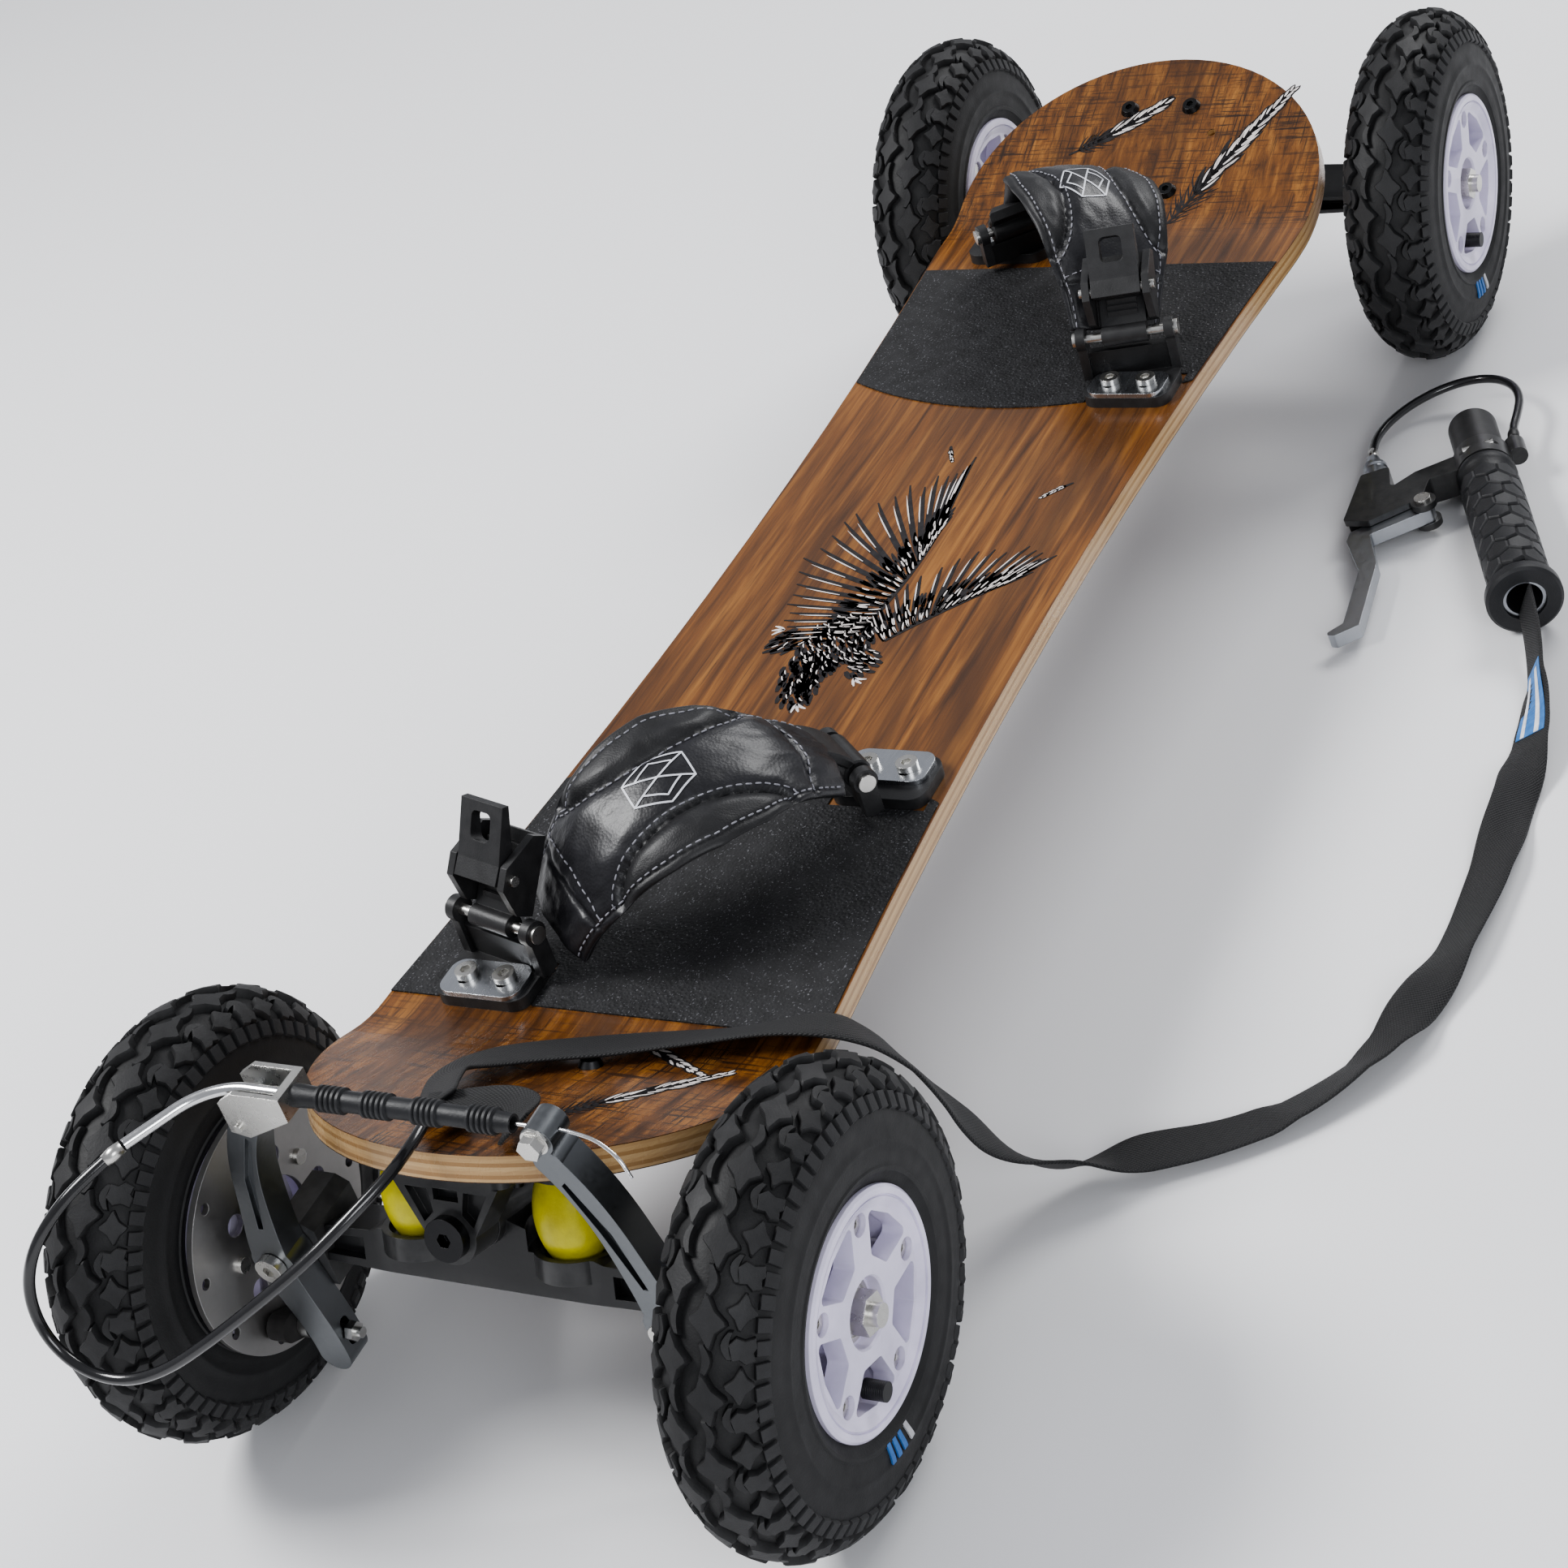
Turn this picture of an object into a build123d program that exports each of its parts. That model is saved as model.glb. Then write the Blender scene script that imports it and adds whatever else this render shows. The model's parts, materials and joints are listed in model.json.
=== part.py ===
"""All-terrain board with straps and a hand brake, one STEP file per sub-part.

Millimetres. +X points to the front tip, +Y to the left, +Z up. The origin is the
centre of the deck's flat underside.
"""
from build123d import *
from math import cos, hypot, pi, radians, sin, tan
import os

os.makedirs("parts", exist_ok=True)

# Driving dimensions
wheelbase = 880.0
track = 296.0  # between the tyres' middle planes
tyre_r = 100.0
tyre_half = 27.0
deck_t = 12.0
waist_half = 96.0
deck_half = 110.0
bend_x = 334.0  # where the flat middle ends
bend_r = 72.0  # on the upper face
tip_deg = 22.0
tip_len = 105.0  # straight length of each tip along its slope
underside_h = 122.5  # flat underside above the ground

# Truck, in its own frame: x outboard along the tip's underside, z away from the ground
bolt_dx = 31.0
bolt_dy = 19.2
plate_t = 8.0
pivot_drop = 31.0
pivot_r = 6.0
damper_y = 38.0
beam_w = 24.0
beam_h = 18.0
beam_end = 106.0

# Wheel, in its own frame: z outboard from the middle plane
axle_r = 4.95
bearing_r = 13.0
bearing_in = 8.0
bearing_w = 8.0
rim_r = 50.5
rim_z = 25.0
web_face = 22.5
spoke_bolt_r = 37.0
rotor_r = 58.0
rotor_z = -32.0
rotor_t = 3.0
rotor_screw_r = 29.0
valve_r = 33.0
gap = 0.3

# Bindings: each runs from a ratchet anchor to a pin anchor across the deck
anchor_inner_x = 166.0
anchor_outer_x = 318.0
anchor_left_y = 59.0
anchor_right_y = -70.0
ladder_yaw_deg = 14.5  # the ladder leaves its anchor nearly along the deck
strap_tilt_deg = 18.7  # the strap leans down towards the toes

# Brake
arm_x = -462.0
arm_t = 14.0
arm_pivot = (97.0, -15.5)
arm_top = (72.0, 82.5)
pad_z = -60.5
wire_z = 84.0
housing_r = 2.5
leash_r = 4.0
wire_r = 0.8

# Handle, in its own frame: x from the leash end to the end cap, y towards the lever
handle_at = (146.0, -268.0)
handle_deg = 23.8
handle_roll_deg = -6.4
handle_pitch_deg = 1.4
grip_len = 130.0
grip_r = 16.5
flange_r = 20.0
handle_len = 183.0
collar_x = 139.0

floor_z = -underside_h
axle_z = floor_z + tyre_r
tip_a = radians(tip_deg)
bend_end_x = bend_x + bend_r * sin(tip_a)
bend_end_z = deck_t + bend_r * (1 - cos(tip_a))
bend_arc = bend_r * tip_a
truck_s = 399.0  # developed distance of the truck's centre from the middle
truck_run = truck_s - bend_x - bend_arc
truck_x = bend_end_x + truck_run * cos(tip_a) + deck_t * sin(tip_a)
truck_z = bend_end_z + truck_run * sin(tip_a) - deck_t * cos(tip_a)


def save(piece, node):
    piece.label = node
    export_step(piece, f"parts/{node}.step")


def truck_plane(end):
    """Plane of a truck's mounting face; end is 1 at the front and -1 at the rear."""
    return Plane(
        origin=(end * truck_x, 0, truck_z),
        x_dir=(end * cos(tip_a), 0, sin(tip_a)),
        z_dir=(-end * sin(tip_a), 0, cos(tip_a)),
    )


def tip_plane(end):
    """Plane of a tip's upper face, from the end of the bend."""
    return Plane(
        origin=(end * bend_end_x, 0, bend_end_z),
        x_dir=(end * cos(tip_a), 0, sin(tip_a)),
        z_dir=(-end * sin(tip_a), 0, cos(tip_a)),
    )


def wheel_plane(end, side):
    return Plane(
        origin=(end * wheelbase / 2, side * track / 2, axle_z),
        x_dir=(1, 0, 0),
        z_dir=(0, side, 0),
    )


axle_local = truck_plane(1).to_local_coords(Vector(wheelbase / 2, 0, axle_z))
ax, az = axle_local.X, axle_local.Z
ends = {"front": 1, "rear": -1}
sides = {"left": 1, "right": -1}
truck_bolts = [(x, y) for x in (-bolt_dx, bolt_dx) for y in (-bolt_dy, bolt_dy)]

# Every ratchet anchor is the one nearer the rear tip of its strap
ratchet_at = {"front": (anchor_inner_x, anchor_right_y), "rear": (-anchor_outer_x, anchor_left_y)}
pin_at = {"front": (anchor_outer_x, anchor_left_y), "rear": (-anchor_inner_x, anchor_right_y)}


def strap_plane(name):
    """x from the ratchet anchor to the pin anchor, z up from the deck, toes towards -y."""
    (x0, y0), (x1, y1) = ratchet_at[name], pin_at[name]
    return Plane(
        origin=((x0 + x1) / 2, (y0 + y1) / 2, deck_t),
        x_dir=(x1 - x0, y1 - y0, 0),
        z_dir=(0, 0, 1),
    )


def ratchet_plane(name):
    """x from the ratchet anchor along its ladder, seen from above."""
    yaw = radians(ladder_yaw_deg) * ends[name]
    return Plane(origin=(*ratchet_at[name], deck_t), x_dir=(cos(yaw), sin(yaw), 0), z_dir=(0, 0, 1))


def pin_plane(name):
    """x from the pin anchor towards the strap."""
    (x0, y0), (x1, y1) = ratchet_at[name], pin_at[name]
    return Plane(origin=(x1, y1, deck_t), x_dir=(x0 - x1, y0 - y1, 0), z_dir=(0, 0, 1))


strap_half = hypot(anchor_outer_x - anchor_inner_x, anchor_left_y - anchor_right_y) / 2
base_long = 48.0
base_wide = 32.0
base_t = 6.0
plate_thick = 2.5
binding_spots = [(4.0, -10.0), (4.0, 10.0)]  # the bolts stand outboard of the base's middle
base_planes = []
for name in ends:
    for at, outboard in ((ratchet_at[name], -1), (pin_at[name], 1)):
        base_planes.append(Plane(origin=(*at, deck_t), x_dir=(outboard, 0, 0), z_dir=(0, 0, 1)))


# ---------------------------------------------------------------- deck and grip
edge_x = 290.0
edge_y = waist_half + (deck_half - waist_half - 1.7) * (edge_x / 300) ** 2
with BuildPart() as deck:
    with BuildSketch():
        with BuildLine():
            for s in (1, -1):
                ThreePointArc((-edge_x, s * edge_y), (0, s * waist_half), (edge_x, s * edge_y))
                for e in (1, -1):
                    Spline(
                        (e * edge_x, s * edge_y),
                        (e * bend_x, s * deck_half),
                        tangents=[(e, s * 0.085), (e, 0)],
                    )
            for e in (1, -1):
                Line((e * bend_x, deck_half), (e * bend_x, -deck_half))
        make_face()
    extrude(amount=deck_t)
    for end in (1, -1):
        with BuildSketch(Plane(origin=(end * bend_x, 0, 0), x_dir=(0, 1, 0), z_dir=(end, 0, 0))):
            with Locations((0, end * deck_t / 2)):
                Rectangle(2 * deck_half, deck_t)
        hinge = Axis((end * bend_x, 0, deck_t + bend_r), (0, -end, 0))
        revolve(axis=hinge, revolution_arc=tip_deg)
        with BuildSketch(tip_plane(end)):
            with BuildLine():
                EllipticalCenterArc((0, 0), tip_len, deck_half, start_angle=-90, arc_size=180)
                Line((0, -deck_half), (0, deck_half))
            make_face()
        extrude(amount=-deck_t)
        with BuildSketch(truck_plane(end).offset(deck_t)):
            with Locations(*truck_bolts):
                Circle(3.2)
        extrude(amount=-deck_t, mode=Mode.SUBTRACT)
    with BuildSketch(truck_plane(1).offset(deck_t)):
        with Locations((11.0, 36.5), (11.0, -36.5)):
            Circle(2.5)
    extrude(amount=-deck_t, mode=Mode.SUBTRACT)
    for plane in base_planes:
        with BuildSketch(plane):
            with Locations(*binding_spots):
                Circle(3.2)
        extrude(amount=-deck_t, mode=Mode.SUBTRACT)
        with BuildSketch(plane.offset(-deck_t)):
            with Locations(*binding_spots):
                Circle(6.4)
        extrude(amount=5.6, mode=Mode.SUBTRACT)
save(deck.part, "deck")

tape_t = 0.8
tape_outer_x = {"front": 296.0, "rear": 329.0}


def tape_half(x):
    """Half width of the tape, just inside the deck's edge."""
    return waist_half - 1 + (edge_y - waist_half) * (min(x, bend_x) / edge_x) ** 2


with BuildPart() as tapes:
    for name, end in ends.items():
        xs = (176.0, 236.0, tape_outer_x[name])
        ys = [tape_half(x) for x in xs]
        with BuildSketch(Plane.XY.offset(deck_t)):
            with BuildLine():
                ThreePointArc((end * xs[0], ys[0]), (end * 150, 0), (end * xs[0], -ys[0]))
                Line((end * xs[2], ys[2]), (end * xs[2], -ys[2]))
                for side in (1, -1):
                    ThreePointArc(*[(end * x, side * y) for x, y in zip(xs, ys)])
            make_face()
        extrude(amount=tape_t)
    for plane in base_planes:
        with BuildSketch(plane):
            Rectangle(base_wide + 1, base_long + 1)
        extrude(amount=tape_t, mode=Mode.SUBTRACT)
save(tapes.part, "grip_tapes")

# ---------------------------------------------------------------- trucks
with BuildPart() as baseplate:
    with BuildSketch():
        with Locations((9, 0)):
            RectangleRounded(90, 58, 6)
        with Locations((ax, 0)):
            RectangleRounded(36, 2 * (damper_y + 18), 16)
        with Locations(*truck_bolts):
            Circle(3.2, mode=Mode.SUBTRACT)
    extrude(amount=-plate_t)
    with BuildSketch(Plane.YZ.offset(54)):
        with BuildLine():
            Polyline((-26, -plate_t), (-12, -pivot_drop), (12, -pivot_drop), (26, -plate_t), close=True)
        make_face()
        with Locations((0, -pivot_drop)):
            Circle(12.5)
    extrude(amount=-16)
    with BuildSketch(Plane.YZ.offset(54)):
        for s in (1, -1):
            with BuildLine():
                Polyline((s * 20, -11), (s * 12, -26), (s * 7, -21), (s * 9, -11), close=True)
            make_face()
        with Locations((0, -13)):
            Rectangle(12, 5)
    extrude(amount=-4, mode=Mode.SUBTRACT)
    with BuildSketch(Plane.YZ.offset(-20)):
        with Locations((0, -pivot_drop / 2)):
            Rectangle(24, pivot_drop)
        with Locations((0, -pivot_drop)):
            Circle(12)
    extrude(amount=-16)
    for s in (1, -1):
        with BuildSketch(Plane.XY.offset(-plate_t)):
            with Locations((ax, s * damper_y)):
                Circle(15.6)
                Circle(13.6, mode=Mode.SUBTRACT)
        extrude(amount=-3)
    with BuildSketch(Plane.YZ.offset(60)):
        with Locations((0, -pivot_drop)):
            Circle(pivot_r)
    extrude(amount=-120, mode=Mode.SUBTRACT)

with BuildPart() as hanger:
    with BuildSketch(Plane.YZ.offset(38 - gap)):
        with Locations((0, -pivot_drop)):
            Circle(13)
    extrude(amount=-(58 - 2 * gap))
    with BuildSketch(Plane.YZ.offset(ax + beam_w / 2)):
        with BuildLine():
            right = [(12, -pivot_drop), (58, az + beam_h / 2), (beam_end, az + 7)]
            right += [(beam_end, az - 7), (50, az - beam_h / 2)]
            Polyline(*right, *[(-y, z) for y, z in reversed(right)], close=True)
        make_face()
    extrude(amount=-beam_w)
    with BuildSketch(Plane.YZ.offset(ax + beam_w / 2)):
        for s in (1, -1):
            with BuildLine():
                pocket = [(s * 62, az + 5), (s * 101, az + 4), (s * 101, az - 4), (s * 62, az - 5)]
                Polyline(*pocket, close=True)
            make_face()
    extrude(amount=-5, mode=Mode.SUBTRACT)
    with BuildSketch(Plane.YZ.offset(ax - beam_w / 2)):
        for s in (1, -1):
            with BuildLine():
                pocket = [(s * 62, az + 5), (s * 101, az + 4), (s * 101, az - 4), (s * 62, az - 5)]
                Polyline(*pocket, close=True)
            make_face()
    extrude(amount=5, mode=Mode.SUBTRACT)
    for s in (1, -1):
        with BuildSketch(Plane.XY.offset(-44)):
            with Locations((ax, s * damper_y)):
                Circle(18)
        extrude(amount=az + 44)
        with BuildSketch(Plane.XY.offset(-44)):
            with Locations((ax, s * damper_y)):
                Circle(20)
        extrude(amount=14, mode=Mode.SUBTRACT)
        with BuildSketch(Plane.XY.offset(-44)):
            with Locations((ax, s * damper_y)):
                Circle(15)
        extrude(amount=-3, mode=Mode.SUBTRACT)
        with BuildSketch(Plane.XZ.offset(-s * beam_end)):
            with Locations((ax, az)):
                Circle(8.5)
        extrude(amount=-s * (track / 2 - bearing_in - bearing_w - gap - beam_end))
    with BuildSketch(Plane.XZ.offset(-track)):
        with Locations((ax, az)):
            Circle(5)
    extrude(amount=2 * track, mode=Mode.SUBTRACT)
    with BuildSketch(Plane.YZ.offset(60)):
        with Locations((0, -pivot_drop)):
            Circle(pivot_r + 0.05)
    extrude(amount=-120, mode=Mode.SUBTRACT)

damper_low = -47.0
damper_high = -plate_t - gap
with BuildPart() as dampers:
    for s in (1, -1):
        with BuildSketch(Plane.XZ.offset(-s * damper_y)):
            with BuildLine():
                egg = Spline(
                    (ax + 11, damper_low),
                    (ax + 16, damper_low + 14),
                    (ax + 11.5, damper_high),
                    tangents=[(0.6, 1), (-0.5, 1)],
                )
                Polyline(egg @ 1, (ax, damper_high), (ax, damper_low), egg @ 0)
            make_face()
        revolve(axis=Axis((ax, s * damper_y, 0), (0, 0, 1)))

with BuildPart() as kingpin:
    with BuildSketch(Plane.YZ.offset(54)):
        with Locations((0, -pivot_drop)):
            Circle(pivot_r)
    extrude(amount=-100)
    with BuildSketch(Plane.YZ.offset(54)):
        with Locations((0, -pivot_drop)):
            Circle(9.5)
            RegularPolygon(3.4, 6, mode=Mode.SUBTRACT)
    extrude(amount=5)
    with BuildSketch(Plane.YZ.offset(-36)):
        with Locations((0, -pivot_drop)):
            RegularPolygon(10.5, 6)
            Circle(pivot_r, mode=Mode.SUBTRACT)
    extrude(amount=-9)

with BuildPart() as deck_bolts:
    for x, y in truck_bolts:
        with BuildSketch(Plane.XY.offset(deck_t)):
            with Locations((x, y)):
                Circle(3)
        extrude(amount=-deck_t - plate_t - 8)
        with BuildSketch(Plane.XY.offset(deck_t)):
            with Locations((x, y)):
                Circle(5.6)
        extrude(amount=3, taper=25)
        with BuildSketch(Plane.XY.offset(deck_t + 3)):
            with Locations((x, y)):
                RegularPolygon(2.2, 6)
        extrude(amount=-2, mode=Mode.SUBTRACT)
        with BuildSketch(Plane.XY.offset(-plate_t)):
            with Locations((x, y)):
                RegularPolygon(5.6, 6)
        extrude(amount=-5.5)

nut_z = bearing_in + bearing_w + gap
axle_end_z = nut_z + 12.7
with BuildPart() as axle:
    with BuildSketch(Plane.XZ.offset(-(track / 2 + axle_end_z))):
        with Locations((ax, az)):
            Circle(axle_r)
    extrude(amount=track + 2 * axle_end_z)
    for s in (1, -1):
        with BuildSketch(Plane.XZ.offset(-s * (track / 2 + nut_z))):
            with Locations((ax, az)):
                Circle(9)
        extrude(amount=-s * 1.2)
        with BuildSketch(Plane.XZ.offset(-s * (track / 2 + nut_z + 1.2))):
            with Locations((ax, az)):
                RegularPolygon(9.2, 6)
        extrude(amount=-s * 7.5)

for name, end in ends.items():
    here = truck_plane(end).location
    save(baseplate.part.moved(here), f"{name}_baseplate")
    save(hanger.part.moved(here), f"{name}_hanger")
    save(dampers.part.moved(here), f"{name}_dampers")
    save(axle.part.moved(here), f"{name}_axle")
both_trucks = [truck_plane(end).location for end in (1, -1)]
with BuildPart() as pivot_pins:
    with Locations(*both_trucks):
        add(kingpin.part)
save(pivot_pins.part, "pivot_pins")
with BuildPart() as all_deck_bolts:
    with Locations(*both_trucks):
        add(deck_bolts.part)
save(all_deck_bolts.part, "truck_bolts")

# ---------------------------------------------------------------- wheels
bead_r = 44.4
with BuildPart() as tyre:
    with BuildSketch(Plane.XZ):
        with BuildLine():
            ThreePointArc((92, 23), (tyre_r, 0), (92, -23))
            ThreePointArc((88, 18.5), (94.5, 0), (88, -18.5))
            for s in (1, -1):
                ThreePointArc((51, s * 20.6), (72, s * tyre_half), (92, s * 23))
                ThreePointArc((50, s * 15.5), (70, s * 22.5), (88, s * 18.5))
                Polyline((50, s * 15.5), (bead_r, s * 14), (bead_r, s * 20.4), (51, s * 20.6))
        make_face()
    revolve(axis=Axis.Z)

with BuildPart() as inner_tube:
    with BuildSketch(Plane.XZ):
        with Locations((69, 0)):
            Ellipse(21.5, 14.5)
            Ellipse(20, 13, mode=Mode.SUBTRACT)
    revolve(axis=Axis.Z)
    with BuildSketch(Plane.YZ.offset(valve_r)):
        Circle(2.7)
    extrude(amount=48.2 - valve_r)
    with Locations((valve_r, 0, 0)):
        Sphere(2.7)
    with BuildSketch():
        with Locations((valve_r, 0)):
            Circle(2.7)
    extrude(amount=18)
    with BuildSketch(Plane.XY.offset(18)):
        with Locations((valve_r, 0)):
            Circle(4.2)
    extrude(amount=10)

split = 0.05  # the two hub halves meet at the middle plane
with BuildPart() as hub_half:
    with BuildSketch(Plane.XZ):
        with BuildLine():
            rim = [(40.5, split), (43.6, split), (43.6, 9), (44, 20.9), (rim_r, 21.4), (rim_r, 24)]
            rim += [(rim_r - 1.2, rim_z), (46.6, rim_z), (46.4, 24), (45.8, 24), (45.6, 24.6)]
            rim += [(41.5, web_face), (19, web_face), (15, web_face), (14.2, 21.5)]
            rim += [(14.2, bearing_in + bearing_w), (bearing_r, bearing_in + bearing_w)]
            rim += [(bearing_r, bearing_in), (8, bearing_in), (8, split), (19, split), (19, 13)]
            rim += [(40.5, 13)]
            Polyline(*rim, close=True)
        make_face()
    revolve(axis=Axis.Z)
    with BuildSketch(Plane.XY.offset(rim_z)) as windows:
        with PolarLocations(0, 5):
            Polygon((21.5, 7), (37, 18), (39.5, 0), (37, -18), (21.5, -7), align=None)
        fillet(windows.vertices(), 2.4)
    extrude(amount=-14, mode=Mode.SUBTRACT)
    with BuildSketch(Plane.XY.offset(web_face)):
        with PolarLocations(spoke_bolt_r, 5, start_angle=36):
            Circle(4.8)
    extrude(amount=-5, mode=Mode.SUBTRACT)
    with BuildSketch(Plane.XY.offset(web_face)):
        with PolarLocations(spoke_bolt_r, 5, start_angle=36):
            Circle(2.6)
    extrude(amount=-30, mode=Mode.SUBTRACT)
    with BuildSketch(Plane.YZ.offset(38)):
        Circle(3.1)
    extrude(amount=8, mode=Mode.SUBTRACT)

with BuildPart() as hub:
    add(hub_half.part)
    mirror(hub_half.part, about=Plane.XY)

with BuildPart() as fittings:
    for s in (1, -1):
        with BuildSketch(Plane.XY.offset(s * bearing_in)):
            Circle(bearing_r)
            Circle(5, mode=Mode.SUBTRACT)
        extrude(amount=s * bearing_w)
        with BuildSketch(Plane.XY.offset(s * (bearing_in + bearing_w))):
            Circle(11)
            Circle(7, mode=Mode.SUBTRACT)
        extrude(amount=-s * 0.6, mode=Mode.SUBTRACT)
    with BuildSketch(Plane.XY.offset(-web_face + 4)):
        with PolarLocations(spoke_bolt_r, 5, start_angle=36):
            Circle(2.5)
    extrude(amount=2 * web_face - 9)
    with BuildSketch(Plane.XY.offset(web_face - 5)):
        with PolarLocations(spoke_bolt_r, 5, start_angle=36):
            Circle(4.2)
    extrude(amount=2.6)
    with BuildSketch(Plane.XY.offset(web_face - 2.4)):
        with PolarLocations(spoke_bolt_r, 5, start_angle=36):
            RegularPolygon(2, 6)
    extrude(amount=-1.6, mode=Mode.SUBTRACT)
    with BuildSketch(Plane.XY.offset(-web_face + 5)):
        with PolarLocations(spoke_bolt_r, 5, start_angle=36):
            RegularPolygon(4.5, 6)
    extrude(amount=-3.6)

with BuildPart() as rotor_screws:
    with BuildSketch(Plane.XY.offset(rotor_z + rotor_t)):
        with PolarLocations(rotor_screw_r, 5, start_angle=36):
            Circle(4)
    extrude(amount=-rotor_z - rotor_t - web_face)
    with BuildSketch(Plane.XY.offset(rotor_z)):
        with PolarLocations(rotor_screw_r, 5, start_angle=36):
            Circle(2)
    extrude(amount=-rotor_z - web_face + 8)
    with BuildSketch(Plane.XY.offset(rotor_z)):
        with PolarLocations(rotor_screw_r, 5, start_angle=36):
            Circle(3.6)
    extrude(amount=-2)

with BuildPart() as rotor:
    with BuildSketch(Plane.XY.offset(rotor_z)):
        Circle(rotor_r)
        Circle(20, mode=Mode.SUBTRACT)
        with PolarLocations(rotor_screw_r, 5, start_angle=36):
            Circle(2, mode=Mode.SUBTRACT)
        with PolarLocations(rotor_screw_r + 1, 5):
            Circle(5, mode=Mode.SUBTRACT)
        with PolarLocations(rotor_r - 6, 10, start_angle=9):
            Circle(2.6, mode=Mode.SUBTRACT)
    extrude(amount=rotor_t)

with BuildPart() as rear_hub_half:
    add(hub_half.part)
    with BuildSketch(Plane.XY.offset(web_face)):
        with PolarLocations(rotor_screw_r, 5, start_angle=36):
            Circle(2)
    extrude(amount=-9, mode=Mode.SUBTRACT)

with BuildPart() as rear_hub:
    add(hub_half.part)
    mirror(rear_hub_half.part, about=Plane.XY)

with BuildPart() as rear_fittings:
    add(fittings.part)
    add(rotor_screws.part)

valve_deg = {"front_left": 60, "front_right": -105, "rear_left": 150, "rear_right": -112}
for end_name, end in ends.items():
    for side_name, side in sides.items():
        corner = f"{end_name}_{side_name}"
        turn = Location((0, 0, 0), (0, 0, valve_deg[corner]))
        here = wheel_plane(end, side).location * turn
        rear = end < 0
        save(tyre.part.moved(here), f"{corner}_tyre")
        save(inner_tube.part.moved(here), f"{corner}_inner_tube")
        save((rear_hub if rear else hub).part.moved(here), f"{corner}_hub")
        save((rear_fittings if rear else fittings).part.moved(here), f"{corner}_hub_fittings")
        if rear:
            save(rotor.part.moved(here), f"{corner}_rotor")

# ---------------------------------------------------------------- bindings
ear_r = 6.0
pin_r = 2.5
plate_size = (22.0, 42.0)
plate_x = 5.0
# (distance towards the strap, height of the pin, half the space between the ears)
ratchet_ear = (12.0, 28.0, 21.0)
strap_ear = (16.0, 24.0, 17.0)
ear_pieces = {}
for kind, (x, z, half) in {"ratchet": ratchet_ear, "strap": strap_ear}.items():
    with BuildPart() as ears:
        with BuildSketch(Plane.XY.offset(base_t - 1)):
            with Locations((x, 0)):
                Rectangle(5, 2 * half + 10)
        extrude(amount=z - ear_r - base_t)
        for side in (1, -1):
            with BuildSketch(Plane.XZ.offset(-side * half)):
                with Locations((x, z)):
                    Circle(ear_r)
                with Locations((x, (z + base_t) / 2)):
                    Rectangle(9, z - base_t)
            extrude(amount=-side * 5)
        with BuildSketch(Plane.XZ.offset(-40)):
            with Locations((x, z)):
                Circle(pin_r)
        extrude(amount=80, mode=Mode.SUBTRACT)
    ear_pieces[kind] = ears.part

with BuildPart() as anchors:
    for plane in base_planes:
        with BuildSketch(plane):
            RectangleRounded(base_wide, base_long, 8)
        extrude(amount=base_t)
    with Locations(*[ratchet_plane(name).location for name in ends]):
        add(ear_pieces["ratchet"])
    with Locations(*[pin_plane(name).location for name in ends]):
        add(ear_pieces["strap"])
    for plane in base_planes:
        with BuildSketch(plane.offset(base_t)):
            with Locations((plate_x, 0)):
                RectangleRounded(plate_size[0] + 0.6, plate_size[1] + 0.6, 7)
        extrude(amount=7, mode=Mode.SUBTRACT)
        with BuildSketch(plane):
            with Locations(*binding_spots):
                Circle(3.2)
        extrude(amount=base_t, mode=Mode.SUBTRACT)
save(anchors.part, "binding_anchors")

with BuildPart() as plates:
    for plane in base_planes:
        with BuildSketch(plane.offset(base_t)):
            with Locations((plate_x, 0)):
                RectangleRounded(*plate_size, 7)
            with Locations(*binding_spots):
                SlotOverall(12, 6.4, mode=Mode.SUBTRACT)
        extrude(amount=plate_thick)
save(plates.part, "binding_plates")

# Ladder frame: x up the ladder from its pin, z away from the deck
ladder_deg = 52.0
ladder_run = 28.0
ladder_half = 12.0
ladder_slope = Location((ratchet_ear[0], 0, ratchet_ear[1]), (0, -ladder_deg, 0))
with BuildPart() as ladder:
    with BuildSketch(Plane.XZ.offset(-ladder_half)):
        Circle(5.2)
        with Locations((ladder_run / 2 + 4, 0)):
            Rectangle(ladder_run + 8, 3)
    extrude(amount=2 * ladder_half)
    with BuildSketch(Plane.XZ.offset(-8)):
        for i in range(int(ladder_run // 3.2) - 2):
            x = 9 + 3.2 * i
            with BuildLine():
                Polyline((x, 1.4), (x + 3, 1.4), (x + 3, 2.7), close=True)
            make_face()
    extrude(amount=16)
    with BuildSketch(Plane.XZ.offset(-20)):
        Circle(pin_r)
    extrude(amount=40, mode=Mode.SUBTRACT)

# Buckle: a channel over the ladder with two cheeks for the lever's pin
lever_pin = (ladder_run - 6, 11.5)
buckle_half = 18.0
cheek_t = 4.0
with BuildPart() as buckle:
    with BuildSketch(Plane.XZ.offset(-buckle_half)):
        with BuildLine():
            Polyline(
                (ladder_run - 22, -4.5),
                (ladder_run + 14, -4.5),
                (ladder_run + 14, 3),
                (lever_pin[0] + 5, 16),
                (lever_pin[0] - 5, 16),
                (ladder_run - 22, 5),
                close=True,
            )
        make_face()
    extrude(amount=2 * buckle_half)
    with BuildSketch(Plane.XZ.offset(-(buckle_half - cheek_t))):
        with Locations((ladder_run - 4, 8.0)):
            Rectangle(60, 20)
    extrude(amount=2 * (buckle_half - cheek_t), mode=Mode.SUBTRACT)
    with BuildSketch(Plane.XZ.offset(-30)):
        with Locations(lever_pin):
            Circle(pin_r)
    extrude(amount=60, mode=Mode.SUBTRACT)

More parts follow.
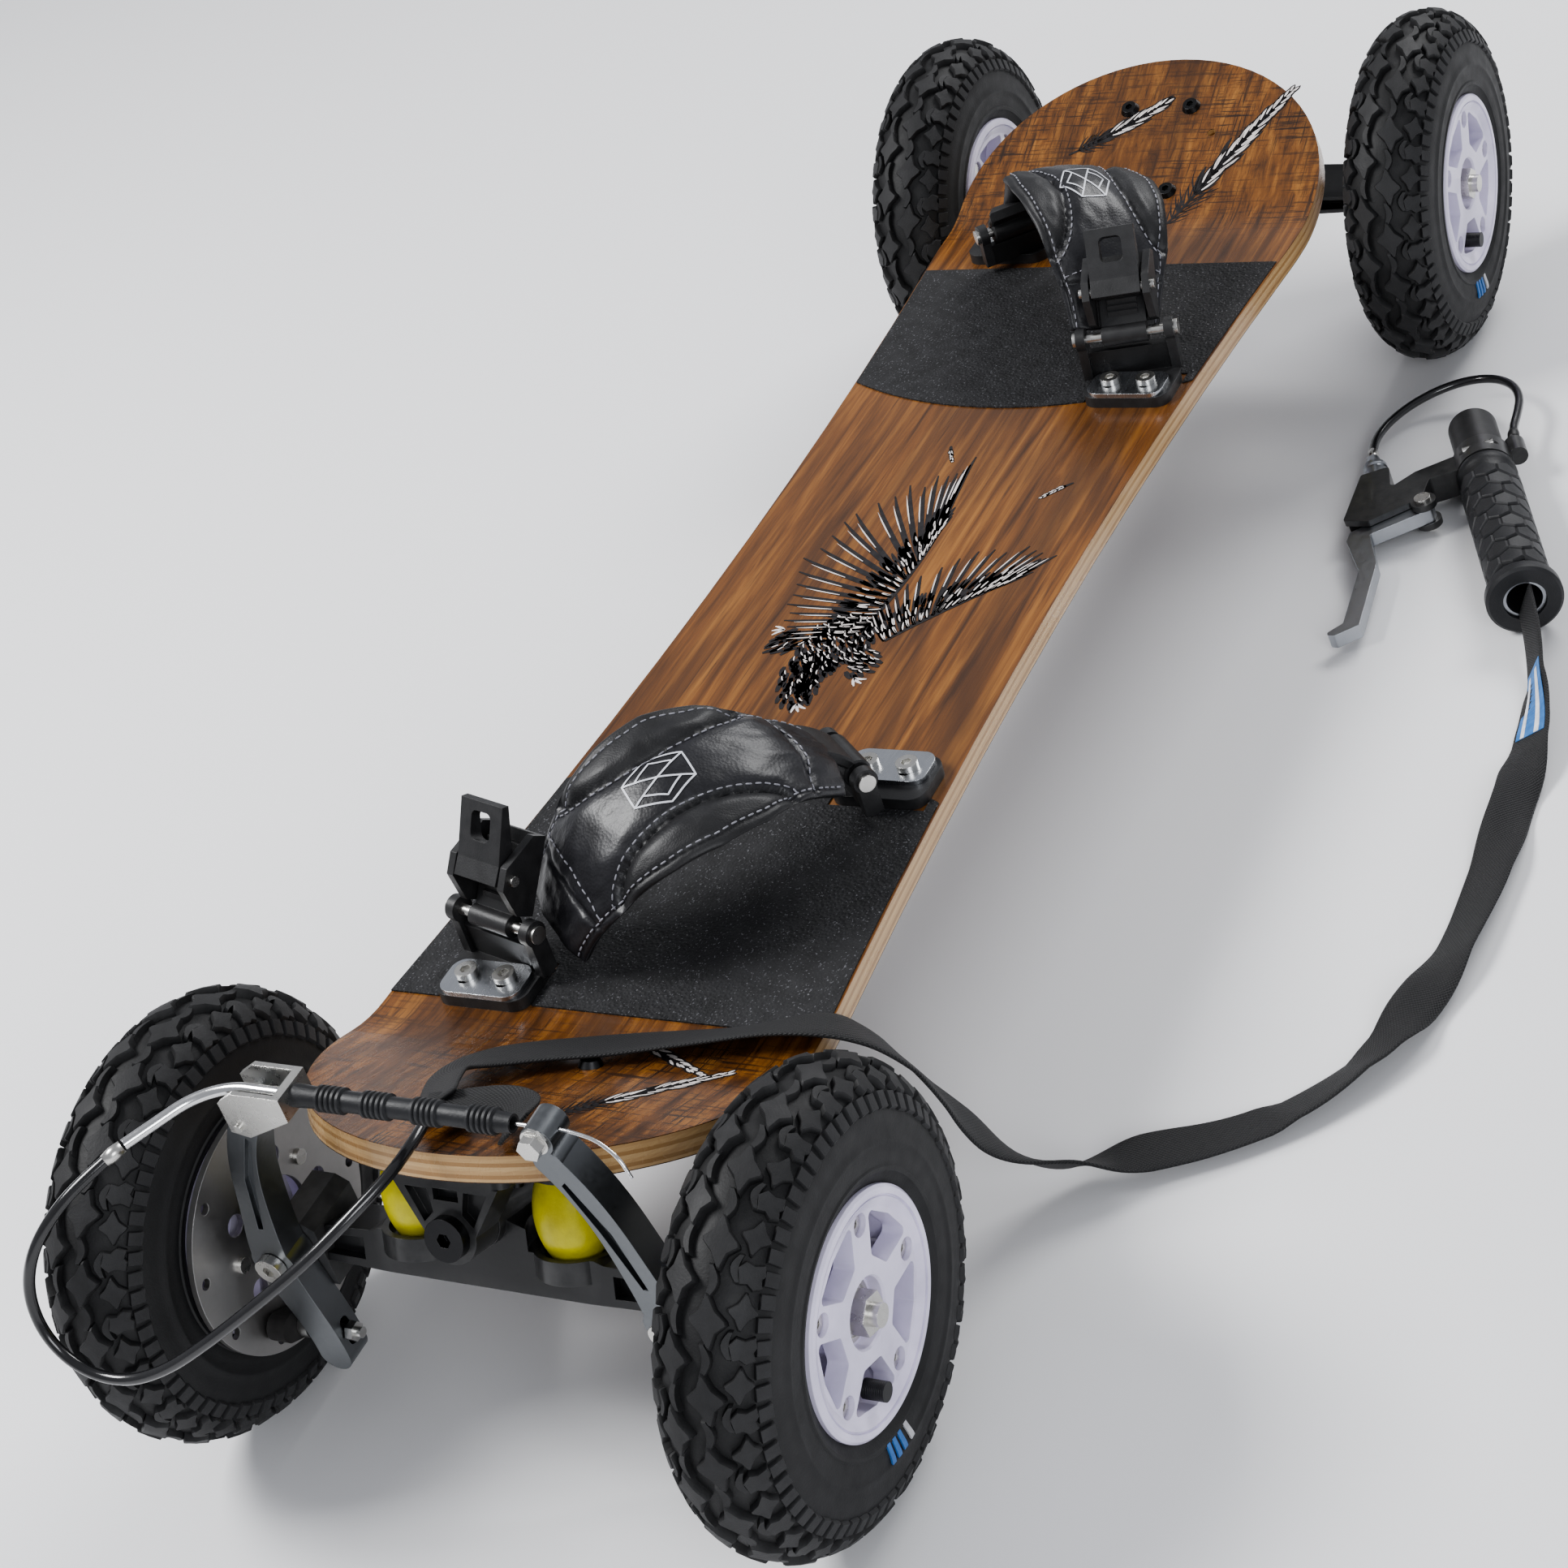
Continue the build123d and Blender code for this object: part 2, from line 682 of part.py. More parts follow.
lever_half = buckle_half - cheek_t - 1
with BuildPart() as ratchet_lever:
    with BuildSketch(Plane.XZ.offset(-lever_half)):
        with BuildLine():
            px, pz = lever_pin
            Polyline(
                (px - 4, pz + 5),
                (px + 5, pz + 4.5),
                (px + 31, pz + 8),
                (px + 32, pz + 4.5),
                (px + 12, pz - 2),
                (px + 4, pz - 5.5),
                (px - 3.5, pz - 5.5),
                close=True,
            )
        make_face()
    extrude(amount=2 * lever_half)
    with BuildSketch(Plane.XY.offset(60)):
        with Locations((px + 20, 0)):
            RectangleRounded(13, 12, 3)
    extrude(amount=-60, mode=Mode.SUBTRACT)
    with BuildSketch(Plane.XZ.offset(-30)):
        with Locations(lever_pin):
            Circle(pin_r + 0.05)
    extrude(amount=60, mode=Mode.SUBTRACT)

with BuildPart() as buckle_pin:
    with BuildSketch(Plane.XZ.offset(-(buckle_half + 2))):
        with Locations(lever_pin):
            Circle(pin_r)
    extrude(amount=2 * (buckle_half + 2))

ear_pins = {}
for kind, (x, z, half) in {"ratchet": ratchet_ear, "strap": strap_ear}.items():
    with BuildPart() as ear_pin:
        with BuildSketch(Plane.XZ.offset(-(half + 6))):
            with Locations((x, z)):
                Circle(pin_r)
        extrude(amount=2 * (half + 6))
        for side in (1, -1):
            with BuildSketch(Plane.XZ.offset(-side * (half + 5))):
                with Locations((x, z)):
                    Circle(4.2)
            extrude(amount=-side * 2)
    ear_pins[kind] = ear_pin.part

ratchet_homes = [ratchet_plane(name).location for name in ends]
head_z = base_t + plate_thick
with BuildPart() as binding_bolts:
    for plane in base_planes:
        with BuildSketch(plane.offset(0.4 - deck_t)):
            with Locations(*binding_spots):
                Circle(3)
        extrude(amount=deck_t + head_z - 0.4)
        with BuildSketch(plane.offset(head_z)):
            with Locations(*binding_spots):
                Circle(5.2)
        extrude(amount=3.4)
        with BuildSketch(plane.offset(head_z + 3.4)):
            with Locations(*binding_spots):
                RegularPolygon(2.6, 6)
        extrude(amount=-2.2, mode=Mode.SUBTRACT)
        with BuildSketch(plane.offset(0.4 - deck_t)):
            with Locations(*binding_spots):
                Circle(6)
        extrude(amount=5)
    with Locations(*ratchet_homes):
        add(ear_pins["ratchet"])
    with Locations(*[home * ladder_slope for home in ratchet_homes]):
        add(buckle_pin.part)
    with Locations(*[pin_plane(name).location for name in ends]):
        add(ear_pins["strap"])
save(binding_bolts.part, "binding_bolts")

for node, piece in {"ladder_straps": ladder.part, "buckles": buckle.part}.items():
    with BuildPart() as group:
        with Locations(*[home * ladder_slope for home in ratchet_homes]):
            add(piece)
    save(group.part, node)

# Strap pad: an arch over the foot, tilted towards the toes, with an eye round the pin
eye_x, eye_z = strap_half - strap_ear[0], strap_ear[1]
eye_half = strap_ear[2] - 1.5
pad_outer = [(-58, 38), (-40, 63), (0, 79), (42, 69), (74, 42)]
pad_inner = [(-50, 32), (-33, 54), (0, 69), (37, 60), (66, 34)]
pad_plan = [(-70, 31), (-30, 38), (5, 41), (45, 32), (80, 19)]
with BuildPart() as arch:
    with BuildSketch(Plane.XZ.offset(-60)):
        with BuildLine():
            over = Spline(*pad_outer)
            under = Spline(*pad_inner)
            Line(over @ 0, under @ 0)
            Line(over @ 1, under @ 1)
        make_face()
    extrude(amount=120)
    with BuildSketch(Plane.XY.offset(120)):
        with BuildLine():
            for side in (1, -1):
                Spline(*[(x, side * y) for x, y in pad_plan])
            for x, y in (pad_plan[0], pad_plan[-1]):
                Line((x, y), (x, -y))
        make_face()
    extrude(amount=-115, mode=Mode.INTERSECT)
with BuildPart() as pad:
    add(arch.part.rotate(Axis.X, strap_tilt_deg))
    with BuildSketch(Plane.XZ.offset(-60)):
        with Locations((92, 30)):
            Rectangle(48, 60)
    extrude(amount=120, mode=Mode.SUBTRACT)
    with BuildSketch(Plane.XZ.offset(-eye_half)):
        with BuildLine():
            Polyline(
                (56, 55), (69, 46), (84, 36), (eye_x + 6, eye_z), (eye_x - 6, eye_z), (63, 38), (52, 46), close=True
            )
        make_face()
        with Locations((eye_x, eye_z)):
            Circle(7)
    extrude(amount=2 * eye_half)
    with BuildSketch(Plane.XZ.offset(-60)):
        with Locations((eye_x, eye_z)):
            Circle(pin_r)
    extrude(amount=120, mode=Mode.SUBTRACT)

# Room left in the pad for the ladder, the buckle and the open lever
with BuildPart() as bay:
    with BuildSketch(Plane.XZ.offset(-(buckle_half + 2.5))):
        with Locations((22, 27)):
            Rectangle(104, 64)
    extrude(amount=2 * (buckle_half + 2.5))

for name in ends:
    sloped = ratchet_plane(name).location * ladder_slope
    with BuildPart() as strap_pad:
        add(pad.part.moved(strap_plane(name).location))
        add(bay.part.moved(sloped), mode=Mode.SUBTRACT)
    save(strap_pad.part, f"{name}_strap_pad")
    save(ratchet_lever.part.moved(sloped), f"{name}_ratchet_lever")

# ---------------------------------------------------------------- rim-style disc brake
arm_front_x = arm_x + arm_t / 2
arm_back_x = arm_x - arm_t / 2
arm_outer = [(80, 73), (94, 42), (102, 10), (107, -15), (101, -45), (97, -70)]
arm_inner = [(67, 68), (80, 40), (86, 10), (88, -15), (83.5, -45), (81, -70)]
stud_r = 2.5
with BuildPart() as arm:
    with BuildSketch(Plane.YZ.offset(arm_back_x)):
        with BuildLine():
            outer = Spline(*arm_outer)
            inner = Spline(*arm_inner)
            ThreePointArc(outer @ 0, (72, 78), inner @ 0)
            ThreePointArc(outer @ 1, (89, -79), inner @ 1)
        make_face()
        with Locations(arm_pivot):
            Circle(11)
            Circle(3.05, mode=Mode.SUBTRACT)
    extrude(amount=arm_t)
    for x in (arm_back_x, arm_front_x - 3):
        with BuildSketch(Plane.YZ.offset(x)):
            with BuildLine():
                Polyline((77, 62), (89, 36), (95.5, 6), (93, 6), (84, 36), (75, 60), close=True)
            make_face()
        extrude(amount=3, mode=Mode.SUBTRACT)
    with BuildSketch(Plane.XZ.offset(-120)):
        with Locations((arm_x, pad_z)):
            SlotOverall(15, 2 * stud_r + 0.4, rotation=90)
    extrude(amount=60, mode=Mode.SUBTRACT)

link_pin = (73.5, 71.5)
with BuildPart() as left_arm:
    add(arm.part)
    with BuildSketch(Plane.YZ.offset(arm_back_x)):
        with Locations(link_pin):
            Circle(2)
    extrude(amount=arm_t, mode=Mode.SUBTRACT)
save(left_arm.part, "left_brake_arm")

clamp_y = -72.0
with BuildPart() as right_arm:
    mirror(arm.part, about=Plane.XZ)
    with BuildSketch(Plane.YZ.offset(arm_back_x)):
        with Locations((clamp_y, wire_z - 1)):
            Circle(7)
    extrude(amount=arm_t)
    with BuildSketch(Plane.YZ.offset(arm_back_x)):
        with Locations((clamp_y, wire_z)):
            Circle(2.6)
    extrude(amount=arm_t / 2 - wire_r, mode=Mode.SUBTRACT)
    with BuildSketch(Plane.XZ.offset(60)):
        with Locations((arm_x, wire_z)):
            Circle(1)
    extrude(amount=25, mode=Mode.SUBTRACT)
save(right_arm.part, "right_brake_arm")

with BuildPart() as clamp_bolt:
    with BuildSketch(Plane.YZ.offset(arm_back_x - 6)):
        with Locations((clamp_y, wire_z)):
            Circle(2.5)
    extrude(amount=6 + arm_t / 2 - wire_r - 0.2)
    with BuildSketch(Plane.YZ.offset(arm_back_x)):
        with Locations((clamp_y, wire_z)):
            Circle(6)
            Circle(2.5, mode=Mode.SUBTRACT)
    extrude(amount=-1.5)
    with BuildSketch(Plane.YZ.offset(arm_back_x - 1.5)):
        with Locations((clamp_y, wire_z)):
            RegularPolygon(5.2, 6)
    extrude(amount=-5)
save(clamp_bolt.part, "wire_clamp_bolt")

# Pad: stud with two nuts, washers outside the arm, block against the rotor's inner face
block_y = 114.2
with BuildPart() as brake_pad:
    with BuildSketch(Plane.XZ.offset(-74)):
        with Locations((arm_x, pad_z)):
            Circle(stud_r)
    extrude(amount=-31)
    with BuildSketch(Plane.XZ.offset(-77)):
        with Locations((arm_x, pad_z)):
            RegularPolygon(4.6, 6)
    extrude(amount=-3.8)
    with BuildSketch(Plane.XZ.offset(-100)):
        with Locations((arm_x, pad_z)):
            Circle(6)
    extrude(amount=-5)
    toward_axle = Plane(
        origin=(arm_x, 105, pad_z),
        x_dir=(axle_z - pad_z, 0, arm_x + wheelbase / 2),
        z_dir=(0, 1, 0),
    )
    with BuildSketch(toward_axle):
        SlotOverall(30, 13)
    extrude(amount=block_y - 105)
save(brake_pad.part, "left_brake_pad")
with BuildPart() as right_pad:
    mirror(brake_pad.part, about=Plane.XZ)
save(right_pad.part, "right_brake_pad")

here = truck_plane(-1).location
with BuildPart() as brake_mounts:
    for s in (1, -1):
        with BuildSketch(Plane.YZ.offset(arm_front_x + gap)):
            with BuildLine():
                saddle = [(82, -40), (82, -8), (88, -4), (100, -4), (104, -8), (104, -40)]
                Polyline(*[(s * y, z) for y, z in saddle], close=True)
            make_face()
        extrude(amount=30)
    add(hanger.part.moved(here), mode=Mode.SUBTRACT)
    add(axle.part.moved(here), mode=Mode.SUBTRACT)
    with BuildSketch(Plane.YZ.offset(arm_back_x)):
        for s in (1, -1):
            with Locations((s * arm_pivot[0], arm_pivot[1])):
                Circle(3)
    extrude(amount=60, mode=Mode.SUBTRACT)
save(brake_mounts.part, "brake_mounts")

with BuildPart() as pivot_bolts:
    for s in (1, -1):
        with BuildSketch(Plane.YZ.offset(arm_back_x - gap)):
            with Locations((s * arm_pivot[0], arm_pivot[1])):
                Circle(3)
        extrude(amount=arm_t + 2 * gap + 1.5)
        with BuildSketch(Plane.YZ.offset(arm_back_x - gap)):
            with Locations((s * arm_pivot[0], arm_pivot[1])):
                Circle(6.5)
        extrude(amount=-4.5)
        with BuildSketch(Plane.YZ.offset(arm_back_x - gap - 4.5)):
            with Locations((s * arm_pivot[0], arm_pivot[1])):
                RegularPolygon(2.9, 6)
        extrude(amount=3, mode=Mode.SUBTRACT)
save(pivot_bolts.part, "brake_pivot_bolts")

# Link: two cheeks on the left arm and a web that stops the noodle
web_y = 46.0
with BuildPart() as link:
    for x in (arm_back_x - 2.9, arm_front_x + 0.4):
        with BuildSketch(Plane.YZ.offset(x)):
            with BuildLine():
                Polyline((web_y, 78), (web_y, 90), (70, 90), (79, 84), (79, 68), (70, 66), close=True)
            make_face()
        extrude(amount=2.5)
    with BuildSketch(Plane.XZ.offset(-web_y)):
        with Locations((arm_x, 84)):
            Rectangle(arm_t + 5.8, 12)
            Circle(housing_r + 0.05, mode=Mode.SUBTRACT)
    extrude(amount=-4)
    with BuildSketch(Plane.YZ.offset(arm_back_x - 4.5)):
        with Locations(link_pin):
            Circle(2)
    extrude(amount=arm_t + 9)
save(link.part, "noodle_bracket")

noodle_tip_y = 40.0
cable_route = [
    (-498.6, 110.4, 81.3),
    (-515, 121.5, 77),
    (-529.5, 132, 68.5),
    (-539, 143, 54),
    (-545, 149.5, 35.5),
    (-549.5, 146.5, 16.5),
    (-552, 133, 3),
    (-551.5, 112.5, -0.5),
    (-547, 91, 6),
    (-539, 68.5, 19),
    (-529, 45, 34),
    (-515, 24, 47),
    (-497, 9, 57),
    (-476, -1, 62.5),
    (-453, -2, 64),
    (-434, 6, 57.5),
]
leash_route = [
    (-433, 6.6, 57),
    (-417, 16, 50),
    (-401, 24, 42.5),
    (-385, 20, 36),
    (-371, 5, 30),
    (-358, -17, 24),
    (-346, -43, 20),
    (-338, -71, 19.5),
    (-331, -97, 22),
    (-324, -117, 17),
    (-315, -130, -3),
    (-307, -136, -28),
    (-299, -141, -56),
    (-290, -149, -83),
    (-280, -162, -104),
    (-268, -181, -116),
    (-254, -203, -118.5),
    (-238, -229, -118.5),
    (-215, -256, -118.5),
    (-184, -279, -118.5),
    (-148, -292, -118.5),
    (-106, -297, -118.5),
    (-60, -299, -118.5),
    (-15, -298, -118.5),
    (28, -296, -118.5),
    (68, -291, -116.5),
    (104, -283, -110),
    (130, -274.5, -104.5),
    (147, -267.5, -102.4),
]


def corner_radii(route):
    """Radius at each corner: as large as the two runs beside it allow."""
    points = [Vector(*p) for p in route]
    radii = []
    for a, b, c in zip(points, points[1:], points[2:]):
        turn = radians((b - a).get_angle(c - b))
        radii.append(0.45 * min((b - a).length, (c - b).length) / tan(turn / 2))
    return radii


def tube(route, radius, bore=None):
    """A round tube or rod along straight runs joined by tangent arcs; prints its facts."""
    with BuildPart() as cord:
        with BuildLine() as path:
            FilletPolyline(*route, radius=corner_radii(route))
        with BuildSketch(Plane(origin=path.line @ 0, z_dir=path.line % 0)):
            Circle(radius)
            if bore:
                Circle(bore, mode=Mode.SUBTRACT)
        sweep()
    length = sum(edge.length for edge in path.edges())
    print("length", round(length, 1), "radii", [round(r, 1) for r in corner_radii(route)])
    section = pi * (radius**2 - (bore or 0) ** 2)
    print("volume over section times length", round(cord.part.volume / section / length, 4))
    return cord.part


noodle = tube([(arm_x, noodle_tip_y, wire_z), (arm_x, 88, wire_z), (-498, 110, 81.5)], housing_r, wire_r + 0.2)
save(noodle, "noodle")

boot_ends = (web_y, -58.0)
with BuildPart() as boot:
    with BuildSketch(Plane(origin=(arm_x, 0, wire_z), x_dir=(0, 1, 0), z_dir=(1, 0, 0))):
        with BuildLine():
            y0, y1 = boot_ends
            profile = [(y0, 2.8), (y0, 5)]
            for rib_group in (34, 12, -12, -38):
                for i in range(5):
                    y = rib_group - 2.6 * i
                    profile += [(y, 4.4), (y - 0.7, 5.5), (y - 1.9, 5.5)]
                profile += [(rib_group - 13, 4.4)]
            profile += [(y1, 3.8), (y1, 2.8)]
            Polyline(*profile, close=True)
        make_face()
    revolve(axis=Axis((arm_x, 0, wire_z), (0, 1, 0)))
save(boot.part, "brake_boot")

wire_route = [
    (arm_x, noodle_tip_y - 1, wire_z),
    (arm_x, -82, wire_z),
    (arm_x - 1, -95, wire_z - 2),
    (arm_x - 4, -105, wire_z - 7),
    (arm_x - 6, -109, wire_z - 15),
]
save(tube(wire_route, wire_r), "inner_wire")
save(tube(cable_route, housing_r), "brake_cable")
save(tube(leash_route, leash_r), "leash")

# ---------------------------------------------------------------- handle
handle = Location((*handle_at, floor_z + flange_r + 0.2), (0, 0, handle_deg)) * Location(
    (0, 0, 0), (handle_roll_deg, handle_pitch_deg, 0)
)
tube_r = 11.1
cap_x = 151.0
with BuildPart() as handle_tube:
    with BuildSketch(Plane.YZ.offset(2)):
        Circle(tube_r)
        Circle(9.2, mode=Mode.SUBTRACT)
    extrude(amount=handle_len - 9)
save(handle_tube.part.moved(handle), "handle_tube")

with BuildPart() as grip:
    with BuildSketch(Plane.XY):
        with BuildLine():
            Polyline(
                (0, tube_r + 0.05),
                (0, flange_r - 2),
                (2, flange_r),
                (6, flange_r),
                (9, grip_r),
                (grip_len, grip_r),
                (grip_len, tube_r + 0.05),
                close=True,
            )
        make_face()
    revolve(axis=Axis.X)
save(grip.part.moved(handle), "grip")

with BuildPart() as end_cap:
    with BuildSketch(Plane.YZ.offset(cap_x)):
        Circle(13.5)
    extrude(amount=handle_len - cap_x)
    with BuildSketch(Plane.YZ.offset(cap_x)):
        Circle(tube_r + 0.05)
    extrude(amount=handle_len - 7 - cap_x + 0.2, mode=Mode.SUBTRACT)
    chamfer(end_cap.faces().sort_by(Axis.X)[-1].edges(), 1.5)
save(end_cap.part.moved(handle), "end_cap")

body_half = 8.0
slot_half = 4.3
lever_t = 4.0
pivot = (collar_x - 27, 36.0)
cable_y = 57.0
guide_y = -19.0
clamp_screw_z = 13.6
with BuildPart() as lever_body:
    with BuildSketch(Plane.XY.offset(-body_half)) as outline:
        with BuildLine():
            shape = [(-8, 8), (-8, 30), (-24, 36), (-31, 67), (-23, 80), (18, 65), (18, 49)]
            shape += [(-4, 51), (4, 36), (8, 8)]
            Polyline(*[(collar_x + a, b) for a, b in shape], close=True)
        make_face()
        fillet(outline.vertices(), 2)
        with Locations(pivot):
            Circle(7)
    extrude(amount=2 * body_half)
    with BuildSketch(Plane.XY.offset(-slot_half)):
        with Locations((collar_x - 41, 58)):
            Rectangle(46, 66)
    extrude(amount=2 * slot_half, mode=Mode.SUBTRACT)
    with BuildSketch(Plane.YZ.offset(collar_x - 8)):
        Circle(16)
    extrude(amount=16)
    with BuildSketch(Plane.YZ.offset(collar_x)):
        with Locations((guide_y, 0)):
            Circle(5.5)
    extrude(amount=14)
    with BuildSketch(Plane.YZ.offset(collar_x - 10)):
        Circle(tube_r + 0.05)
    extrude(amount=20, mode=Mode.SUBTRACT)
    with BuildSketch(Plane.XY.offset(-20)):
        with Locations(pivot):
            Circle(pin_r)
    extrude(amount=40, mode=Mode.SUBTRACT)
    with BuildSketch(Plane.YZ.offset(collar_x + 18)):
        with Locations((cable_y, 0)):
            Circle(3.5)
    extrude(amount=-12, mode=Mode.SUBTRACT)
    with BuildSketch(Plane.XZ.offset(40)):
        with Locations((collar_x, clamp_screw_z)):
            Circle(1.9)
    extrude(amount=-80, mode=Mode.SUBTRACT)
save(lever_body.part.moved(handle), "lever_body")

with BuildPart() as lever_pins:
    with BuildSketch(Plane.XY.offset(-body_half)):
        with Locations(pivot):
            Circle(pin_r)
    extrude(amount=2 * body_half)
    for s in (1, -1):
        with BuildSketch(Plane.XY.offset(s * body_half)):
            with Locations(pivot):
                Circle(4.5)
        extrude(amount=s * 2)
    with BuildSketch(Plane.XZ.offset(8.5)):
        with Locations((collar_x, clamp_screw_z)):
            Circle(1.9)
    extrude(amount=-17)
save(lever_pins.part.moved(handle), "lever_pins")

with BuildPart() as adjuster:
    with BuildSketch(Plane(origin=(collar_x, cable_y, 0), x_dir=(1, 0, 0), z_dir=(0, 0, 1))):
        with BuildLine():
            shape = [(8, 0), (8, 3.45), (18.2, 3.45), (18.2, 7.5), (25, 7.5), (27, 6), (29, 6)]
            shape += [(30, 7), (33, 7), (35, 5), (43, 4), (43, 0)]
            Polyline(*shape, close=True)
        make_face()
    revolve(axis=Axis((collar_x, cable_y, 0), (1, 0, 0)))
save(adjuster.part.moved(handle), "cable_adjuster")

with BuildPart() as lever:
    with BuildSketch(Plane.XY.offset(-lever_t)) as blade:
        with BuildLine():
            shape = [(-22, 36), (-26, 31), (-32, 33), (-38, 68), (-68, 68), (-121, 84)]
            shape += [(-124, 98), (-120, 103), (-115, 92), (-70, 78), (-38, 81), (-30, 78)]
            Polyline(*[(collar_x + a, b) for a, b in shape], close=True)
        make_face()
        fillet(blade.vertices(), 2)
        with Locations(pivot):
            Circle(pin_r + 0.05, mode=Mode.SUBTRACT)
    extrude(amount=2 * lever_t)
save(lever.part.moved(handle), "brake_lever")

lever_cable_route = [
    (collar_x + 43.4, 57, 0),
    (collar_x + 57, 55.5, 0),
    (collar_x + 71, 49.5, 0),
    (collar_x + 83, 39, 0),
    (collar_x + 92, 25.5, 0),
    (collar_x + 97, 10, 0),
    (collar_x + 97, -6, 0),
    (collar_x + 90, -20, 0),
    (collar_x + 77, -28.5, 0),
    (collar_x + 61, -30, 0),
    (collar_x + 45, -26, 0),
    (collar_x + 29, -20.5, 0),
    (collar_x + 14.5, guide_y, 0),
]
save(tube(lever_cable_route, housing_r).moved(handle), "lever_cable")
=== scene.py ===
"""Looks for the all-terrain board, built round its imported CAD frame. Metres, in the row frame."""

import json
import random
from math import asin, atan2, cos, degrees, hypot, pi, radians, sin, sqrt

import bmesh
import bpy
import numpy as np
from mathutils import Matrix, Vector, noise


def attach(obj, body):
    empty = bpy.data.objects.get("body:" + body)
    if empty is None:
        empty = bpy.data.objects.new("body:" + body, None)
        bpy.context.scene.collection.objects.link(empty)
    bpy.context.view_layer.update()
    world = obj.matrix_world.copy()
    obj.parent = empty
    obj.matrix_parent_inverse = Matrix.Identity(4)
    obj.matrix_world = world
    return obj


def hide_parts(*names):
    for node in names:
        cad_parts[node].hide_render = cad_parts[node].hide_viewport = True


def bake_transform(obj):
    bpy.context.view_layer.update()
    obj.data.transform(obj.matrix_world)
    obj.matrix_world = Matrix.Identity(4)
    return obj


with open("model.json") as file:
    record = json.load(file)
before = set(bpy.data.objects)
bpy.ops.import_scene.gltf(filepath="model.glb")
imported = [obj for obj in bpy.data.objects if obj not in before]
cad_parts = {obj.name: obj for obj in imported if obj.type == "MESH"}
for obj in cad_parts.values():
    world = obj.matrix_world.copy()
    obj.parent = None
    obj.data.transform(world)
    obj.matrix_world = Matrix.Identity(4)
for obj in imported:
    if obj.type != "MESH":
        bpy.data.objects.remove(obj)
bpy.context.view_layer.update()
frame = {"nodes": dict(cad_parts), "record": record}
MM = 0.001
rng = random.Random(7)

# Sizes that the looks share with the CAD model, in millimetres
DECK_T = 12.0
BEND_X = 334.0
BEND_R = 72.0
TIP = radians(22.0)
FLOOR_Z = -122.5
AXLE = (440.0, 148.0, -22.5)
TRACK_SIDES = {"left": 1, "right": -1}
ENDS = {"front": 1, "rear": -1}
PAD_FACE = 104.8
BEND_END = (BEND_X + BEND_R * sin(TIP), DECK_T + BEND_R * (1 - cos(TIP)))


# ---------------------------------------------------------------- small tools
def smooth(t):
    t = min(max(t, 0.0), 1.0)
    return t * t * (3 - 2 * t)


def mesh_piece(name, verts, faces, material, body, slot, shade_smooth=True, scale=MM):
    """An object from vertices in millimetres and faces, riding on a body."""
    mesh = bpy.data.meshes.new(name)
    mesh.from_pydata([tuple(float(c) * scale for c in v) for v in verts], [], faces)
    mesh.validate()
    made = bpy.data.objects.new(name, mesh)
    bpy.context.scene.collection.objects.link(made)
    for one in material if isinstance(material, (list, tuple)) else [material]:
        mesh.materials.append(one)
    for polygon in mesh.polygons:
        polygon.use_smooth = shade_smooth
    if body:
        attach(made, body)
    return made


def outward(piece):
    """Makes a closed mesh's normals point out."""
    bm = bmesh.new()
    bm.from_mesh(piece.data)
    bmesh.ops.recalc_face_normals(bm, faces=bm.faces)
    bm.to_mesh(piece.data)
    bm.free()
    return piece


def grid_faces(rows, columns, wrap_rows=False, wrap_columns=False, start=0):
    faces = []
    for i in range(rows if wrap_rows else rows - 1):
        for j in range(columns if wrap_columns else columns - 1):
            a, b = i % rows, (i + 1) % rows
            c, d = j % columns, (j + 1) % columns
            faces.append(tuple(start + k for k in (a * columns + c, b * columns + c, b * columns + d,
                a * columns + d)))
    return faces


